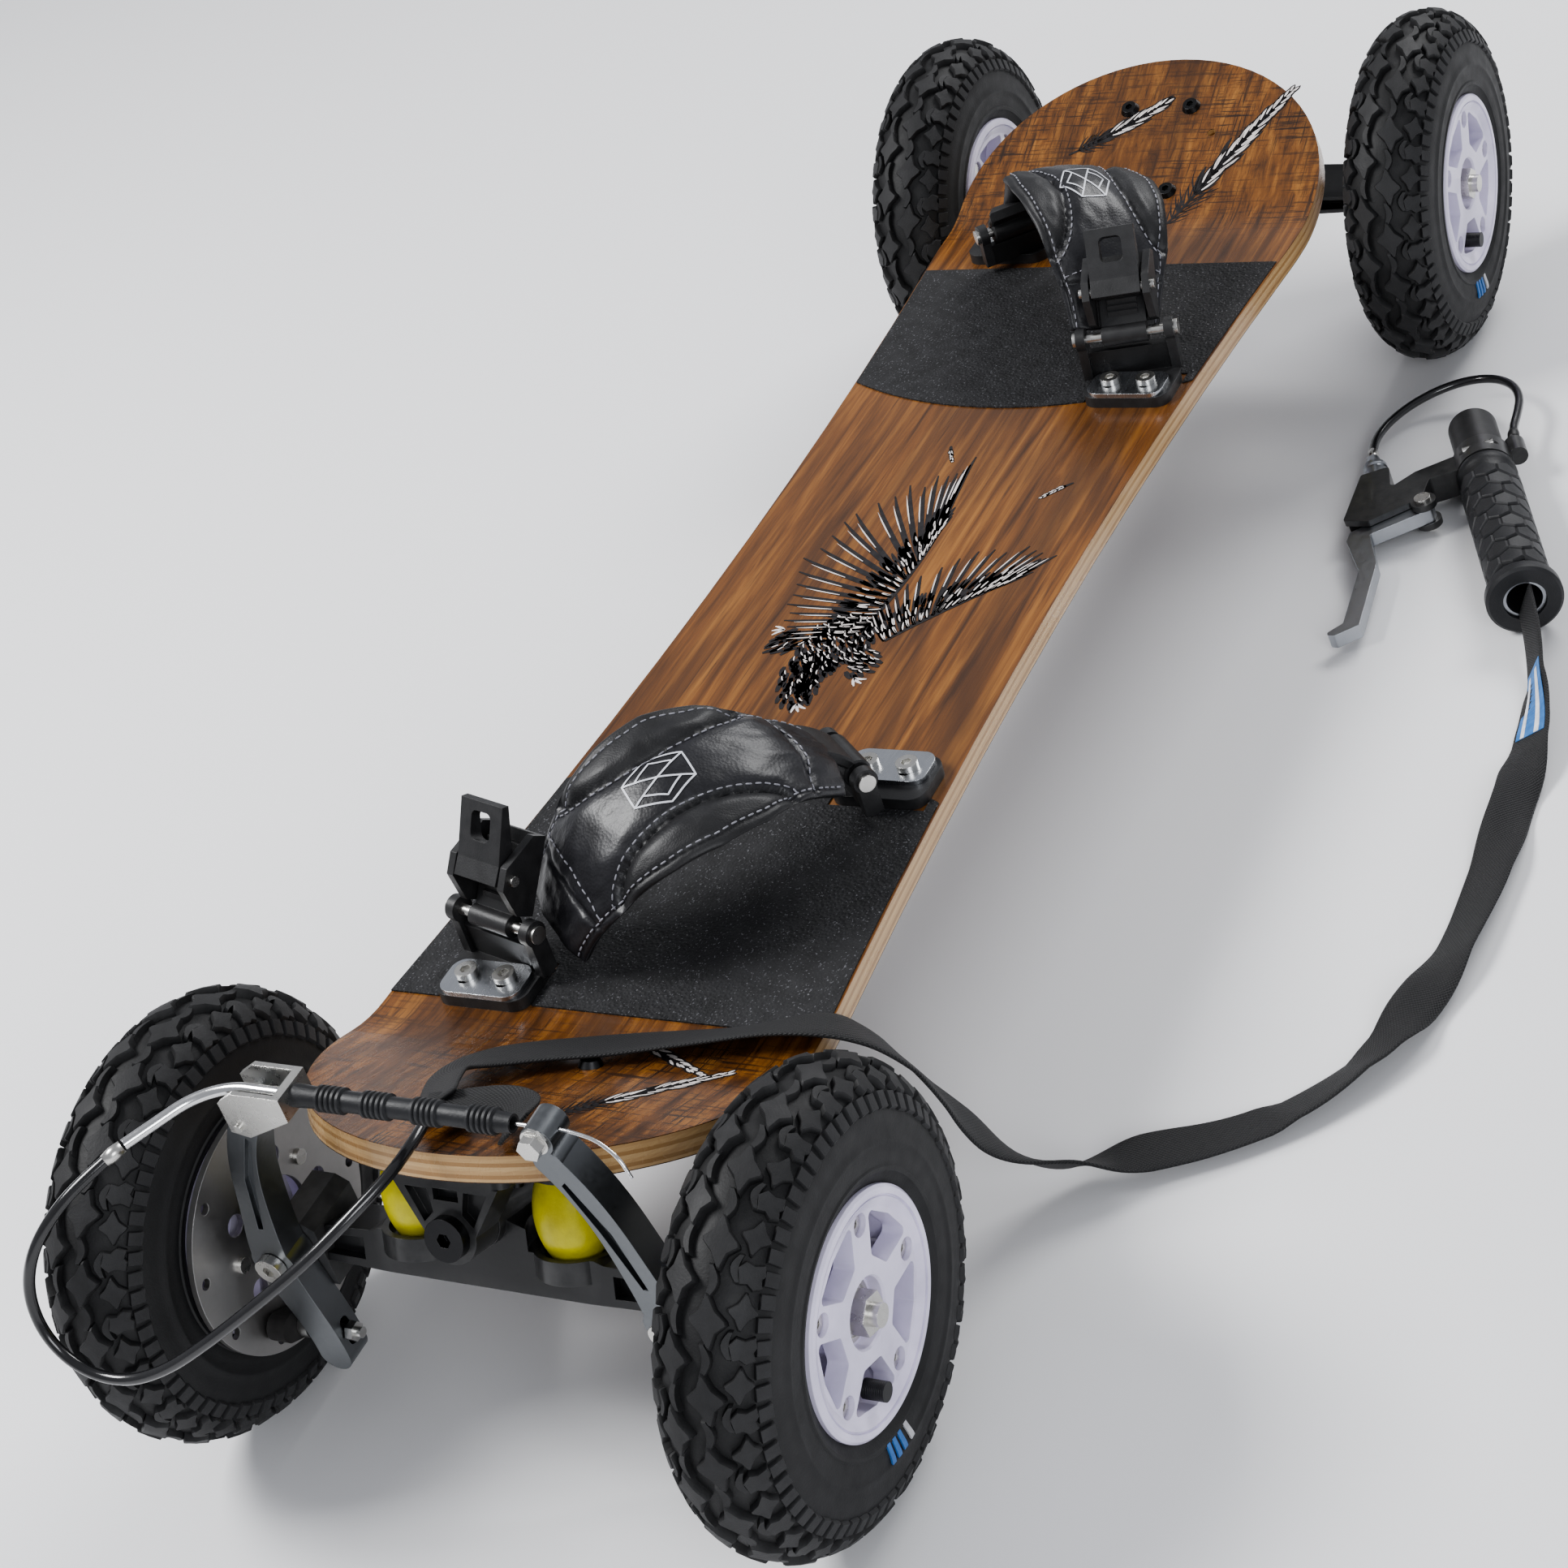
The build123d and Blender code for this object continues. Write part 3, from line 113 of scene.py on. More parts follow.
# ---------------------------------------------------------------- materials
class Finish:
    """A Principled material, with short ways to add and join its nodes."""

    def __init__(self, name, color=(0.5, 0.5, 0.5), rough=0.5, metal=0.0, coat=0.0, specular=0.5):
        self.material = bpy.data.materials.new(name)
        self.material.use_nodes = True
        self.tree = self.material.node_tree
        self.shader = self.tree.nodes["Principled BSDF"]
        self.put("Base Color", (*color, 1))
        self.put("Roughness", rough)
        self.put("Metallic", metal)
        self.put("Coat Weight", coat)
        self.put("Specular IOR Level", specular)
        self.place = self.node("TexCoord").outputs["Object"]

    def put(self, socket, value):
        self.feed(self.shader.inputs[socket], value)

    def feed(self, socket, value):
        if isinstance(value, bpy.types.NodeSocket):
            self.tree.links.new(value, socket)
        else:
            socket.default_value = value

    def node(self, kind, inputs=(), **settings):
        made = self.tree.nodes.new("ShaderNode" + kind)
        for key, value in settings.items():
            setattr(made, key, value)
        for key, value in dict(inputs).items():
            self.feed(made.inputs[key], value)
        return made

    def math(self, operation, a, b=0.0, clamp=False):
        made = self.node("Math", {0: a, 1: b}, operation=operation)
        made.use_clamp = clamp
        return made.outputs[0]

    def stretched(self, x, y, z):
        return self.node("Mapping", {"Vector": self.place, "Scale": (x, y, z)}).outputs[0]

    def noise(self, scale, detail=3.0, rough=0.5, vector=None, distortion=0.0):
        inputs = {"Scale": scale, "Detail": detail, "Roughness": rough, "Distortion": distortion}
        inputs["Vector"] = vector or self.place
        return self.node("TexNoise", inputs).outputs["Fac"]

    def cells(self, scale, vector=None, feature="F1"):
        made = self.node("TexVoronoi", {"Scale": scale, "Vector": vector or self.place}, feature=feature)
        return made.outputs["Distance"]

    def ramp(self, fac, *stops):
        made = self.node("ValToRGB", {"Fac": fac})
        elements = made.color_ramp.elements
        while len(elements) < len(stops):
            elements.new(0.5)
        for element, (at, color) in zip(elements, stops):
            element.position = at
            element.color = (*color, 1) if hasattr(color, "__len__") else (color, color, color, 1)
        return made.outputs["Color"]

    def mix(self, fac, a, b, blend="MIX"):
        made = self.node("Mix", {"Factor": fac}, data_type="RGBA", blend_type=blend)
        for socket, value in ((made.inputs[6], a), (made.inputs[7], b)):
            if isinstance(value, (tuple, list)) and len(value) == 3:
                value = (*value, 1)
            self.feed(socket, value)
        return made.outputs[2]

    def bump(self, height, distance, strength=1.0, over=None, round_edges=0.0):
        made = self.node("Bump", {"Height": height, "Distance": distance, "Strength": strength})
        if over:
            self.feed(made.inputs["Normal"], over)
        elif round_edges:
            rounded = self.node("Bevel", {"Radius": round_edges}, samples=4)
            self.feed(made.inputs["Normal"], rounded.outputs[0])
        self.put("Normal", made.outputs[0])
        return made.outputs[0]

    def lighten_convex_edges(self, color, edge, low=0.52, high=0.6):
        """Lightens a colour along convex edges, broken up by noise."""
        point = self.node("NewGeometry").outputs["Pointiness"]
        edges = self.ramp(point, (low, 0.0), (high, 1.0))
        broken = self.math("MULTIPLY", edges, self.noise(160, 4))
        return self.mix(broken, color, edge)


def moulded(name, color, rough=0.42, grain=0.00008, scale=1400, edge=None, coat=0.0):
    """Moulded plastic or painted metal: fine texture, slight mottling, lighter edges."""
    made = Finish(name, color, rough, coat=coat)
    mottle = made.noise(35, 4)
    light = tuple(min(1.0, c * 1.5 + 0.004) for c in color)
    tint = made.mix(made.ramp(mottle, (0.35, 0.0), (0.75, 1.0)), color, light)
    made.put("Base Color", made.lighten_convex_edges(tint, edge or tuple(min(1, c * 2.6 + 0.02) for c in color)))
    spread = made.node("MapRange", {"Value": made.noise(70, 4), 3: rough - 0.07, 4: rough + 0.09})
    made.put("Roughness", spread.outputs[0])
    made.bump(made.noise(scale, 2), grain, round_edges=0.0005)
    return made.material


def metal(name, color, rough=0.3, brushed=(1, 1, 1), scale=260, depth=0.00001, dark=0.86):
    """Bare or plated metal with brushing, slight tarnish and soft edges."""
    made = Finish(name, color, rough, metal=1.0)
    lines = made.noise(scale, 3, 0.6, made.stretched(*brushed))
    cloud = made.noise(26, 5, 0.6)
    tarnish = tuple(c * dark for c in color)
    made.put("Base Color", made.mix(made.ramp(cloud, (0.38, 0.0), (0.72, 1.0)), tarnish, color))
    spread = made.node("MapRange", {"Value": lines, 3: rough - 0.08, 4: rough + 0.14})
    made.put("Roughness", spread.outputs[0])
    made.bump(lines, depth, round_edges=0.0004)
    return made.material


def make_wood():
    """Stained veneer on top with pale plies on the edge, scratched dark on the two tips."""
    made = Finish("stained_wood", rough=0.3, coat=0.35)
    made.put("Coat Roughness", 0.16)
    axes = made.node("SeparateXYZ", {0: made.place})
    x = made.math("ABSOLUTE", axes.outputs[0])
    z = axes.outputs[2]
    fine = made.noise(9, 7, 0.62, made.stretched(0.8, 17, 9), distortion=0.5)
    pores = made.noise(30, 5, 0.7, made.stretched(0.7, 26, 12))
    broad = made.noise(3.2, 3, 0.5, made.stretched(1, 4.5, 2), distortion=1.6)
    dark, brown, amber = (0.045, 0.017, 0.005), (0.175, 0.067, 0.016), (0.36, 0.16, 0.040)
    top = made.ramp(fine, (0.30, dark), (0.5, brown), (0.72, amber))
    top = made.mix(made.ramp(broad, (0.42, 0.0), (0.66, 0.75)), top, (0.055, 0.022, 0.008))
    top = made.mix(made.ramp(pores, (0.28, 0.75), (0.44, 0.0)), top, (0.03, 0.013, 0.007))
    # crossed dark scratches, on the tips only
    along = made.noise(26, 4, 0.7, made.stretched(1.2, 24, 1))
    across = made.noise(26, 4, 0.7, made.stretched(24, 1.2, 10))
    patch = made.ramp(made.noise(16, 3), (0.3, 0.2), (0.6, 1.0))
    scratch = ((0.54, 0.0), (0.6, 1.0))
    hatch = made.math("MAXIMUM", made.ramp(along, *scratch), made.ramp(across, *scratch))
    on_tip = made.node("MapRange", {"Value": x, 1: 0.318, 2: 0.345}).outputs[0]
    hatch = made.math("MULTIPLY", made.math("MULTIPLY", hatch, patch), on_tip)
    top = made.mix(made.math("MULTIPLY", hatch, 0.88), top, (0.012, 0.008, 0.007))
    # distance below the upper face: flat, bend and tip
    to_x = made.math("SUBTRACT", x, BEND_X * MM)
    to_z = made.math("SUBTRACT", (DECK_T + BEND_R) * MM, z)
    squares = made.math("ADD", made.math("MULTIPLY", to_x, to_x), made.math("MULTIPLY", to_z, to_z))
    bend = made.math("SUBTRACT", made.math("SQRT", squares), BEND_R * MM)
    rise = made.math("MULTIPLY", made.math("SUBTRACT", x, BEND_END[0] * MM), sin(TIP))
    tip = made.math("ADD", rise, made.math("MULTIPLY", made.math("SUBTRACT", BEND_END[1] * MM, z), cos(TIP)))
    flat = made.math("SUBTRACT", DECK_T * MM, z)
    past_bend = made.math("GREATER_THAN", x, BEND_END[0] * MM)
    in_bend = made.math("GREATER_THAN", x, BEND_X * MM)
    curved = made.node("Mix", {0: past_bend, 2: bend, 3: tip}).outputs[0]
    depth = made.node("Mix", {0: in_bend, 2: flat, 3: curved}).outputs[0]
    band = made.math("MULTIPLY", depth, 1 / (DECK_T * MM))
    plies = made.node("ValToRGB", {"Fac": band})
    plies.color_ramp.interpolation = "CONSTANT"
    shades = [(0.50, 0.32, 0.15), (0.56, 0.37, 0.18), (0.38, 0.22, 0.09), (0.60, 0.41, 0.21)]
    shades += [(0.54, 0.35, 0.17), (0.36, 0.21, 0.09), (0.58, 0.39, 0.20)]
    elements = plies.color_ramp.elements
    while len(elements) < len(shades):
        elements.new(0.5)
    for i, (element, shade) in enumerate(zip(elements, shades)):
        element.position = i / len(shades)
        element.color = (*shade, 1)
    streaks = made.noise(26, 4, 0.6, made.stretched(1.5, 1.5, 40))
    edge = made.mix(made.ramp(streaks, (0.3, 0.0), (0.8, 0.5)), plies.outputs[0], (0.30, 0.17, 0.08))
    on_top = made.math("LESS_THAN", depth, 0.0004)
    underside = made.math("GREATER_THAN", depth, (DECK_T - 0.4) * MM)
    color = made.mix(on_top, edge, top)
    under = made.mix(0.6, top, (0.02, 0.016, 0.014))
    made.put("Base Color", made.mix(underside, color, under))
    made.put("Roughness", made.ramp(fine, (0.2, 0.34), (0.8, 0.2)))
    made.bump(made.math("ADD", pores, made.math("MULTIPLY", fine, 0.6)), 0.00012)
    return made.material


def make_grit():
    made = Finish("grit_tape", (0.01, 0.01, 0.011), 0.72)
    grains = made.cells(620)
    sparkle = made.ramp(made.noise(980, 1, 0.5), (0.66, 0.0), (0.72, 1.0))
    patch = made.ramp(made.noise(90, 4), (0.3, 0.0), (0.7, 1.0))
    base = made.mix(patch, (0.010, 0.010, 0.011), (0.022, 0.022, 0.024))
    made.put("Base Color", made.mix(sparkle, base, (0.11, 0.11, 0.12)))
    made.put("Roughness", made.ramp(sparkle, (0.0, 0.78), (1.0, 0.32)))
    made.bump(grains, 0.0007, 0.9)
    return made.material


def make_rubber(name, color=(0.008, 0.008, 0.0085), rough=0.6):
    """Black rubber: dusty mottling, and a painted sheen: its convex edges painted lighter."""
    made = Finish(name, color, rough)
    dust = made.ramp(made.noise(22, 6, 0.6), (0.35, 0.0), (0.8, 1.0))
    light = tuple(c * 1.9 + 0.003 for c in color)
    # painted sheen: the rubber's convex edges painted lighter
    made.put("Base Color", made.lighten_convex_edges(made.mix(dust, color, light), (0.035, 0.035, 0.037), 0.53, 0.64))
    spread = made.node("MapRange", {"Value": made.noise(120, 4), 3: rough - 0.12, 4: rough + 0.14})
    made.put("Roughness", spread.outputs[0])
    made.bump(made.noise(900, 4, 0.6), 0.00014)
    return made.material


def make_leather(name, color, rough, grain):
    made = Finish(name, color, rough, coat=0.12)
    made.put("Coat Roughness", 0.3)
    pebbles = made.cells(grain)
    creases = made.noise(60, 5, 0.65, distortion=0.8)
    light = tuple(c * 2.0 + 0.004 for c in color)
    made.put("Base Color", made.mix(made.ramp(creases, (0.35, 0.0), (0.75, 1.0)), color, light))
    spread = made.node("MapRange", {"Value": creases, 3: rough - 0.04, 4: rough + 0.08})
    made.put("Roughness", spread.outputs[0])
    over = made.bump(pebbles, 0.00016, 0.5)
    made.bump(creases, 0.0006, 0.4, over=over)
    return made.material


def make_webbing():
    """Woven black webbing: a fine rib across and along the band, with painted light on its raised threads and
    painted shade between them.
    """
    made = Finish("black_webbing", (0.012, 0.012, 0.013), 0.62)
    made.put("Sheen Weight", 0.04)
    uv = made.node("TexCoord").outputs["UV"]
    axes = made.node("SeparateXYZ", {0: uv})
    across = made.math("SINE", made.math("MULTIPLY", axes.outputs[0], 2 * pi * 14))
    along = made.math("SINE", made.math("MULTIPLY", axes.outputs[1], 2 * pi * 520))
    weave = made.math("MULTIPLY", across, along)
    # painted light and shade: the weave's raised threads painted lighter, the hollows between them darker
    raised = made.ramp(weave, (0.3, 0.0), (0.9, 1.0))
    made.put("Base Color", made.mix(raised, (0.008, 0.008, 0.009), (0.026, 0.026, 0.028)))
    made.bump(weave, 0.00025, 0.8)
    return made.material


def make_tyre_mark():
    """Tube rubber whose valve stem is brass below a black cap."""
    made = Finish("tube_rubber", (0.012, 0.012, 0.013), 0.42)
    y = made.math("ABSOLUTE", made.node("SeparateXYZ", {0: made.place}).outputs[1])
    brass = made.math("LESS_THAN", y, (AXLE[1] + 17.9) * MM)
    threads = made.math("SINE", made.math("MULTIPLY", y, 2 * pi / (0.8 * MM)))
    tone = made.ramp(made.noise(150, 3), (0.3, (0.36, 0.20, 0.05)), (0.7, (0.62, 0.40, 0.13)))
    made.put("Base Color", made.mix(brass, (0.012, 0.012, 0.013), tone))
    made.put("Metallic", brass)
    made.bump(threads, 0.0001, 0.7)
    return made.material


def make_pad_finish():
    """Dark friction block outside, steel stud and nuts inboard of it."""
    made = Finish("pad_compound", (0.02, 0.018, 0.018), 0.6)
    y = made.math("ABSOLUTE", made.node("SeparateXYZ", {0: made.place}).outputs[1])
    steel = made.math("LESS_THAN", y, PAD_FACE * MM)
    cloud = made.noise(140, 4)
    block = made.ramp(cloud, (0.3, (0.010, 0.009, 0.009)), (0.7, (0.026, 0.024, 0.023)))
    plated = made.ramp(cloud, (0.3, (0.42, 0.42, 0.41)), (0.7, (0.66, 0.66, 0.64)))
    made.put("Base Color", made.mix(steel, block, plated))
    made.put("Metallic", steel)
    made.put("Roughness", made.ramp(steel, (0.0, 0.82), (1.0, 0.3)))
    made.bump(made.noise(600, 3), 0.00005)
    return made.material


def make_urethane():
    made = Finish("yellow_urethane", (0.62, 0.55, 0.02), 0.33)
    made.put("Subsurface Weight", 0.35)
    made.put("Subsurface Radius", (0.01, 0.008, 0.001))
    cloud = made.noise(45, 5, 0.6)
    made.put("Base Color", made.ramp(cloud, (0.3, (0.46, 0.40, 0.01)), (0.7, (0.78, 0.72, 0.03))))
    made.bump(made.noise(160, 5, 0.7), 0.0005, 0.6)
    return made.material


def make_ink(name, color, rough=0.38):
    """Screen printing, worn through in small flecks; only mottled here."""
    made = Finish(name, color, rough)
    light = tuple(min(1, c * 1.3 + 0.01) for c in color)
    made.put("Base Color", made.mix(made.ramp(made.noise(240, 4), (0.35, 0.0), (0.7, 1.0)), color, light))
    made.bump(made.noise(700, 3), 0.00004)
    return made.material


paint = {
    "stained_wood": make_wood(),
    "grit_tape": make_grit(),
    "black_alloy": moulded("black_alloy", (0.006, 0.006, 0.0065), 0.34, 0.00004, 500, (0.06, 0.06, 0.06),
        coat=0.15),
    "yellow_urethane": make_urethane(),
    "plated_steel": metal("plated_steel", (0.70, 0.69, 0.66), 0.26),
    "tyre_rubber": make_rubber("tyre_rubber"),
    "tube_rubber": make_tyre_mark(),
    "hub_nylon": moulded("hub_nylon", (0.58, 0.545, 0.70), 0.33, 0.00005, 700, (0.72, 0.69, 0.84), coat=0.3),
    "rotor_steel": metal("rotor_steel", (0.50, 0.49, 0.48), 0.38, (1, 1, 1), 300),
    "black_steel": metal("black_steel", (0.05, 0.05, 0.052), 0.34),
    "black_plastic": moulded("black_plastic", (0.007, 0.007, 0.0075), 0.42),
    "plate_alloy": metal("plate_alloy", (0.62, 0.64, 0.67), 0.22, (1, 6, 1), 120),
    "black_leather": make_leather("black_leather", (0.007, 0.007, 0.009), 0.38, 700),
    "silver_alloy": metal("silver_alloy", (0.46, 0.48, 0.51), 0.3, (1, 1, 1), 420),
    "pad_compound": make_pad_finish(),
    "bright_steel": metal("bright_steel", (0.82, 0.82, 0.82), 0.14),
    "grip_rubber": make_rubber("grip_rubber", (0.008, 0.0085, 0.010), 0.48),
    "cable_sheath": moulded("cable_sheath", (0.008, 0.008, 0.009), 0.2, 0.00002, 900, coat=0.5),
    "black_webbing": make_webbing(),
}
for part in frame["record"]["subparts"]:
    shown = frame["nodes"][part["node"]]
    shown.data.materials.clear()
    shown.data.materials.append(paint[part["material_slot"]])
arm_alloy = metal("arm_alloy", (0.20, 0.21, 0.22), 0.32, (1, 1, 1), 420)
for which in ("left", "right"):
    frame["nodes"][f"{which}_brake_arm"].data.materials[0] = arm_alloy

# ---------------------------------------------------------------- camera, light and floor
def look(azimuth, elevation, roll, distance, target, lens):
    """A camera round a target; azimuth and elevation say where it stands."""
    a, e, r = radians(azimuth), radians(elevation), radians(roll)
    away = Vector((cos(e) * cos(a), cos(e) * sin(a), sin(e)))
    level = (-away).cross(Vector((0, 0, 1))).normalized()
    up = level.cross(-away)
    right = cos(r) * level + sin(r) * up
    top = cos(r) * up - sin(r) * level
    data = bpy.data.cameras.new("camera")
    data.lens = lens
    data.sensor_width = 36
    data.clip_start = 0.05
    camera = bpy.data.objects.new("camera", data)
    bpy.context.scene.collection.objects.link(camera)
    turn = Matrix((right, top, away)).transposed().to_4x4()
    camera.matrix_world = Matrix.Translation(Vector(target) * MM + away * distance * MM) @ turn
    bpy.context.scene.camera = camera
    return camera


look(-143.9, 34.62, -18.81, 1574, (-82, 47, FLOOR_Z + 60), 71.67)


def lamp(name, at, aim, size, power, color=(1, 1, 1)):
    data = bpy.data.lights.new(name, "AREA")
    data.shape = "RECTANGLE"
    data.size, data.size_y = size
    data.energy = power
    data.color = color
    light = bpy.data.objects.new(name, data)
    bpy.context.scene.collection.objects.link(light)
    light.location = at
    light.rotation_euler = (Vector(aim) - Vector(at)).to_track_quat("-Z", "Y").to_euler()


lamp("key", (-0.7, 1.5, 2.0), (0, 0, 0), (1.1, 0.8), 62)
lamp("fill", (-1.7, -1.6, 1.2), (-0.1, 0, 0), (1.0, 1.0), 20, (0.95, 0.97, 1))
lamp("back", (1.9, -0.6, 1.6), (0.1, 0, 0), (1.4, 0.7), 30)
world = bpy.data.worlds.new("studio")
bpy.context.scene.world = world
world.use_nodes = True
world.node_tree.nodes["Background"].inputs[0].default_value = (0.92, 0.94, 1, 1)
bpy.context.scene.view_settings.look = "AgX - Medium High Contrast"
world.node_tree.nodes["Background"].inputs[1].default_value = 0.42

floor_paint = Finish("floor", (0.86, 0.86, 0.87), 0.7)
floor_paint.bump(floor_paint.noise(60, 2), 0.0001)
side = 6.0
floor_mesh = bpy.data.meshes.new("floor")
floor_corners = [(x * side, y * side, FLOOR_Z * MM - 0.0002) for x, y in ((-1, -1), (1, -1), (1, 1), (-1, 1))]
floor_mesh.from_pydata(floor_corners, [], [(0, 1, 2, 3)])
floor_mesh.materials.append(floor_paint.material)
floor = bpy.data.objects.new("floor", floor_mesh)
bpy.context.scene.collection.objects.link(floor)

# The dampers are squeezed between the baseplate and the hanger; at each end a plain copy of the CAD pair, on
# no body, stands in for them
for end in ENDS:
    cad = frame["nodes"][f"{end}_dampers"]
    soft = bpy.data.objects.new(f"{end}_damper_pair", cad.data.copy())
    bpy.context.scene.collection.objects.link(soft)
    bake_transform(soft)
    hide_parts(f"{end}_dampers")

# ---------------------------------------------------------------- cords
LEASH_ROUTE = [
    (-433, 6.6, 57), (-417, 16, 50), (-401, 24, 42), (-385, 20, 34.5), (-371, 5, 28), (-358, -17, 21.5),
    (-346, -43, 17.5), (-338, -71, 17), (-331, -97, 19.5), (-324, -117, 16), (-315, -130, -3), (-307, -136,
        -28),
    (-299, -141, -56), (-290, -149, -83), (-280, -162, -102), (-268, -181, -111), (-254, -203, -113),
    (-238, -229, -116.5), (-215, -256, -118), (-184, -279, -115), (-148, -292, -113), (-106, -297, -117),
    (-60, -299, -117.5), (-15, -298, -115.5), (28, -296, -115.5), (68, -291, -115), (104, -283, -110),
    (130, -274.5, -105), (147, -267.5, -102.4),
]
LEASH_TILTS = [
    (0, 20), (0.05, 14), (0.12, 18), (0.2, 30), (0.26, 12), (0.36, -18), (0.425, 48), (0.47, -8),
    (0.53, 6), (0.57, 50), (0.61, 22), (0.645, -22), (0.70, 24), (0.76, 12), (0.82, -34), (0.88, 30), (0.94,
        66), (1, 70),
]
CABLE_ROUTE = [
    (-498.6, 110.4, 81.3), (-515, 121.5, 77), (-529.5, 132, 68.5), (-539, 143, 54), (-545, 149.5, 35.5),
    (-549.5, 146.5, 16.5), (-552, 133, 3), (-551.5, 112.5, -0.5), (-547, 91, 6), (-539, 68.5, 19), (-529,
        45, 34),
    (-515, 24, 47), (-497, 9, 57), (-476, -1, 62.5), (-453, -2, 64), (-434, 6, 57.5),
]
COLLAR_X = 139.0
LEVER_CABLE_ROUTE = [
    (COLLAR_X + a, b, 0)
    for a, b in [
        (43.4, 57), (57, 55.5), (71, 49.5), (83, 39), (92, 25.5), (97, 10), (97, -6), (90, -20), (77, -28.5),
        (61, -30), (45, -26), (29, -20.5), (14.5, -19),
    ]
]
HANDLE = (
    Matrix.Translation(Vector((146, -268, -102.3)) * MM)
    @ Matrix.Rotation(radians(23.8), 4, "Z")
    @ Matrix.Rotation(radians(-6.4), 4, "X")
    @ Matrix.Rotation(radians(1.4), 4, "Y")
)


def route_curve(name, route, place=Matrix()):
    """A smooth NURBS curve with a route's points as its control points."""
    curve = bpy.data.curves.new(name, "CURVE")
    curve.dimensions = "3D"
    curve.resolution_u = 8
    spline = curve.splines.new("NURBS")
    spline.points.add(len(route) - 1)
    for point, at in zip(spline.points, route):
        point.co = (*(place @ (Vector(at) * MM)), 1)
    spline.order_u = 3
    spline.use_endpoint_u = True
    made = bpy.data.objects.new(name, curve)
    bpy.context.scene.collection.objects.link(made)
    return made


def route_points(route, place=Matrix()):
    """Points read from a route's NURBS spline, in millimetres."""
    made = route_curve("route", route, place)
    bpy.context.view_layer.update()
    mesh = bpy.data.meshes.new_from_object(made)
    points = [v.co / MM for v in mesh.vertices]
    bpy.data.objects.remove(made)
    bpy.data.meshes.remove(mesh)
    return points


def carried_frames(points, first=Vector((0, 0, 1))):
    """For each point, (direction, side, up), turned as little as possible from one to the next."""
    frames, up = [], first
    for i in range(len(points)):
        ahead = (points[min(i + 1, len(points) - 1)] - points[max(i - 1, 0)]).normalized()
        up = (up - ahead * up.dot(ahead)).normalized()
        frames.append((ahead, ahead.cross(up), up))
    return frames


def tube(points, radius, sides=14, first=Vector((0, 0, 1))):
    """Vertices and faces of a capped tube; radius is one number or one for each point."""
    radii = radius if hasattr(radius, "__len__") else [radius] * len(points)
    verts = []
    for at, (_, side, up), r in zip(points, carried_frames(points, first), radii):
        for k in range(sides):
            a = 2 * pi * k / sides
            verts.append(at + side * (r * cos(a)) + up * (r * sin(a)))
    faces = grid_faces(len(points), sides, wrap_columns=True)
    faces += [tuple(range(sides))[::-1], tuple(range(len(verts) - sides, len(verts)))]
    return verts, faces


def length_of(points):
    return sum((b - a).length for a, b in zip(points, points[1:]))


def eased(table, t):
    """The value at t in a table of (t, value), easing from one entry to the next."""
    for (t0, v0), (t1, v1) in zip(table, table[1:]):
        if t <= t1:
            return v0 + (v1 - v0) * smooth((t - t0) / (t1 - t0))
    return table[-1][1]


def webbing(name, points, width, thick, tilts, body="root"):
    """A flat woven band along points, tilted about its own line; woven pattern on its UVs."""
    rim = width / 2 - thick / 2
    section = [(x, thick / 2) for x in (-rim, -rim / 2, 0, rim / 2, rim)]
    section = section + [(width / 2, 0)] + [(x, -z) for x, z in section[::-1]] + [(-width / 2, 0)]
    verts, marks, run, whole = [], [], 0.0, length_of(points)
    for i, at in enumerate(points):
        if i:
            run += (at - points[i - 1]).length
        ahead = (points[min(i + 1, len(points) - 1)] - points[max(i - 1, 0)]).normalized()
        level = ahead.cross(Vector((0, 0, 1))).normalized()
        above = level.cross(ahead)
        tilt = radians(eased(tilts, run / whole))
        spare = (at.z - FLOOR_Z - thick / 2 - 0.3) / (width / 2)  # the lower edge stays on the floor
        if spare < 1:
            tilt = max(-asin(max(spare, 0)), min(asin(max(spare, 0)), tilt))
        side = level * cos(tilt) + above * sin(tilt)
        normal = above * cos(tilt) - level * sin(tilt)
        for x, z in section:
            verts.append(at + side * x + normal * z)
            marks.append((x / width, run * MM))
    columns = len(section)
    faces = grid_faces(len(points), columns, wrap_columns=True)
    faces += [tuple(range(columns))[::-1], tuple(range(len(verts) - columns, len(verts)))]
    made = outward(mesh_piece(name, verts, faces, paint["black_webbing"], None, "black_webbing"))
    layer = made.data.uv_layers.new(name="weave")
    for loop in made.data.loops:
        layer.data[loop.index].uv = marks[loop.vertex_index]
    if body:
        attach(made, body)
    return made


leash_line = route_points(LEASH_ROUTE)
leash = webbing("leash_webbing", leash_line, 22, 1.7, LEASH_TILTS)
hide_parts("leash")

tail_line = route_points([(-436, 9, 57.2), (-429, -8, 55), (-425, -24, 53), (-432, -37, 57), (-446, -41, 63)])
tail = webbing("leash_tail", tail_line, 20, 1.7, [(0, 6), (0.6, -12), (1, -38)])

cable_line = route_points(CABLE_ROUTE)
cable = outward(mesh_piece("brake_cable_housing", *tube(cable_line, 2.5), paint["cable_sheath"], None,
    "cable_sheath"))
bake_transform(cable)
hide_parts("brake_cable")

hose = route_curve("lever_cable_housing", LEVER_CABLE_ROUTE, HANDLE)
hose.data.bevel_depth = 2.5 * MM
hose.data.bevel_resolution = 4
hose.data.use_fill_caps = True
hose.data.materials.append(paint["cable_sheath"])
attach(hose, "root")
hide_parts("lever_cable")
lever_cable_line = route_points(LEVER_CABLE_ROUTE, HANDLE)


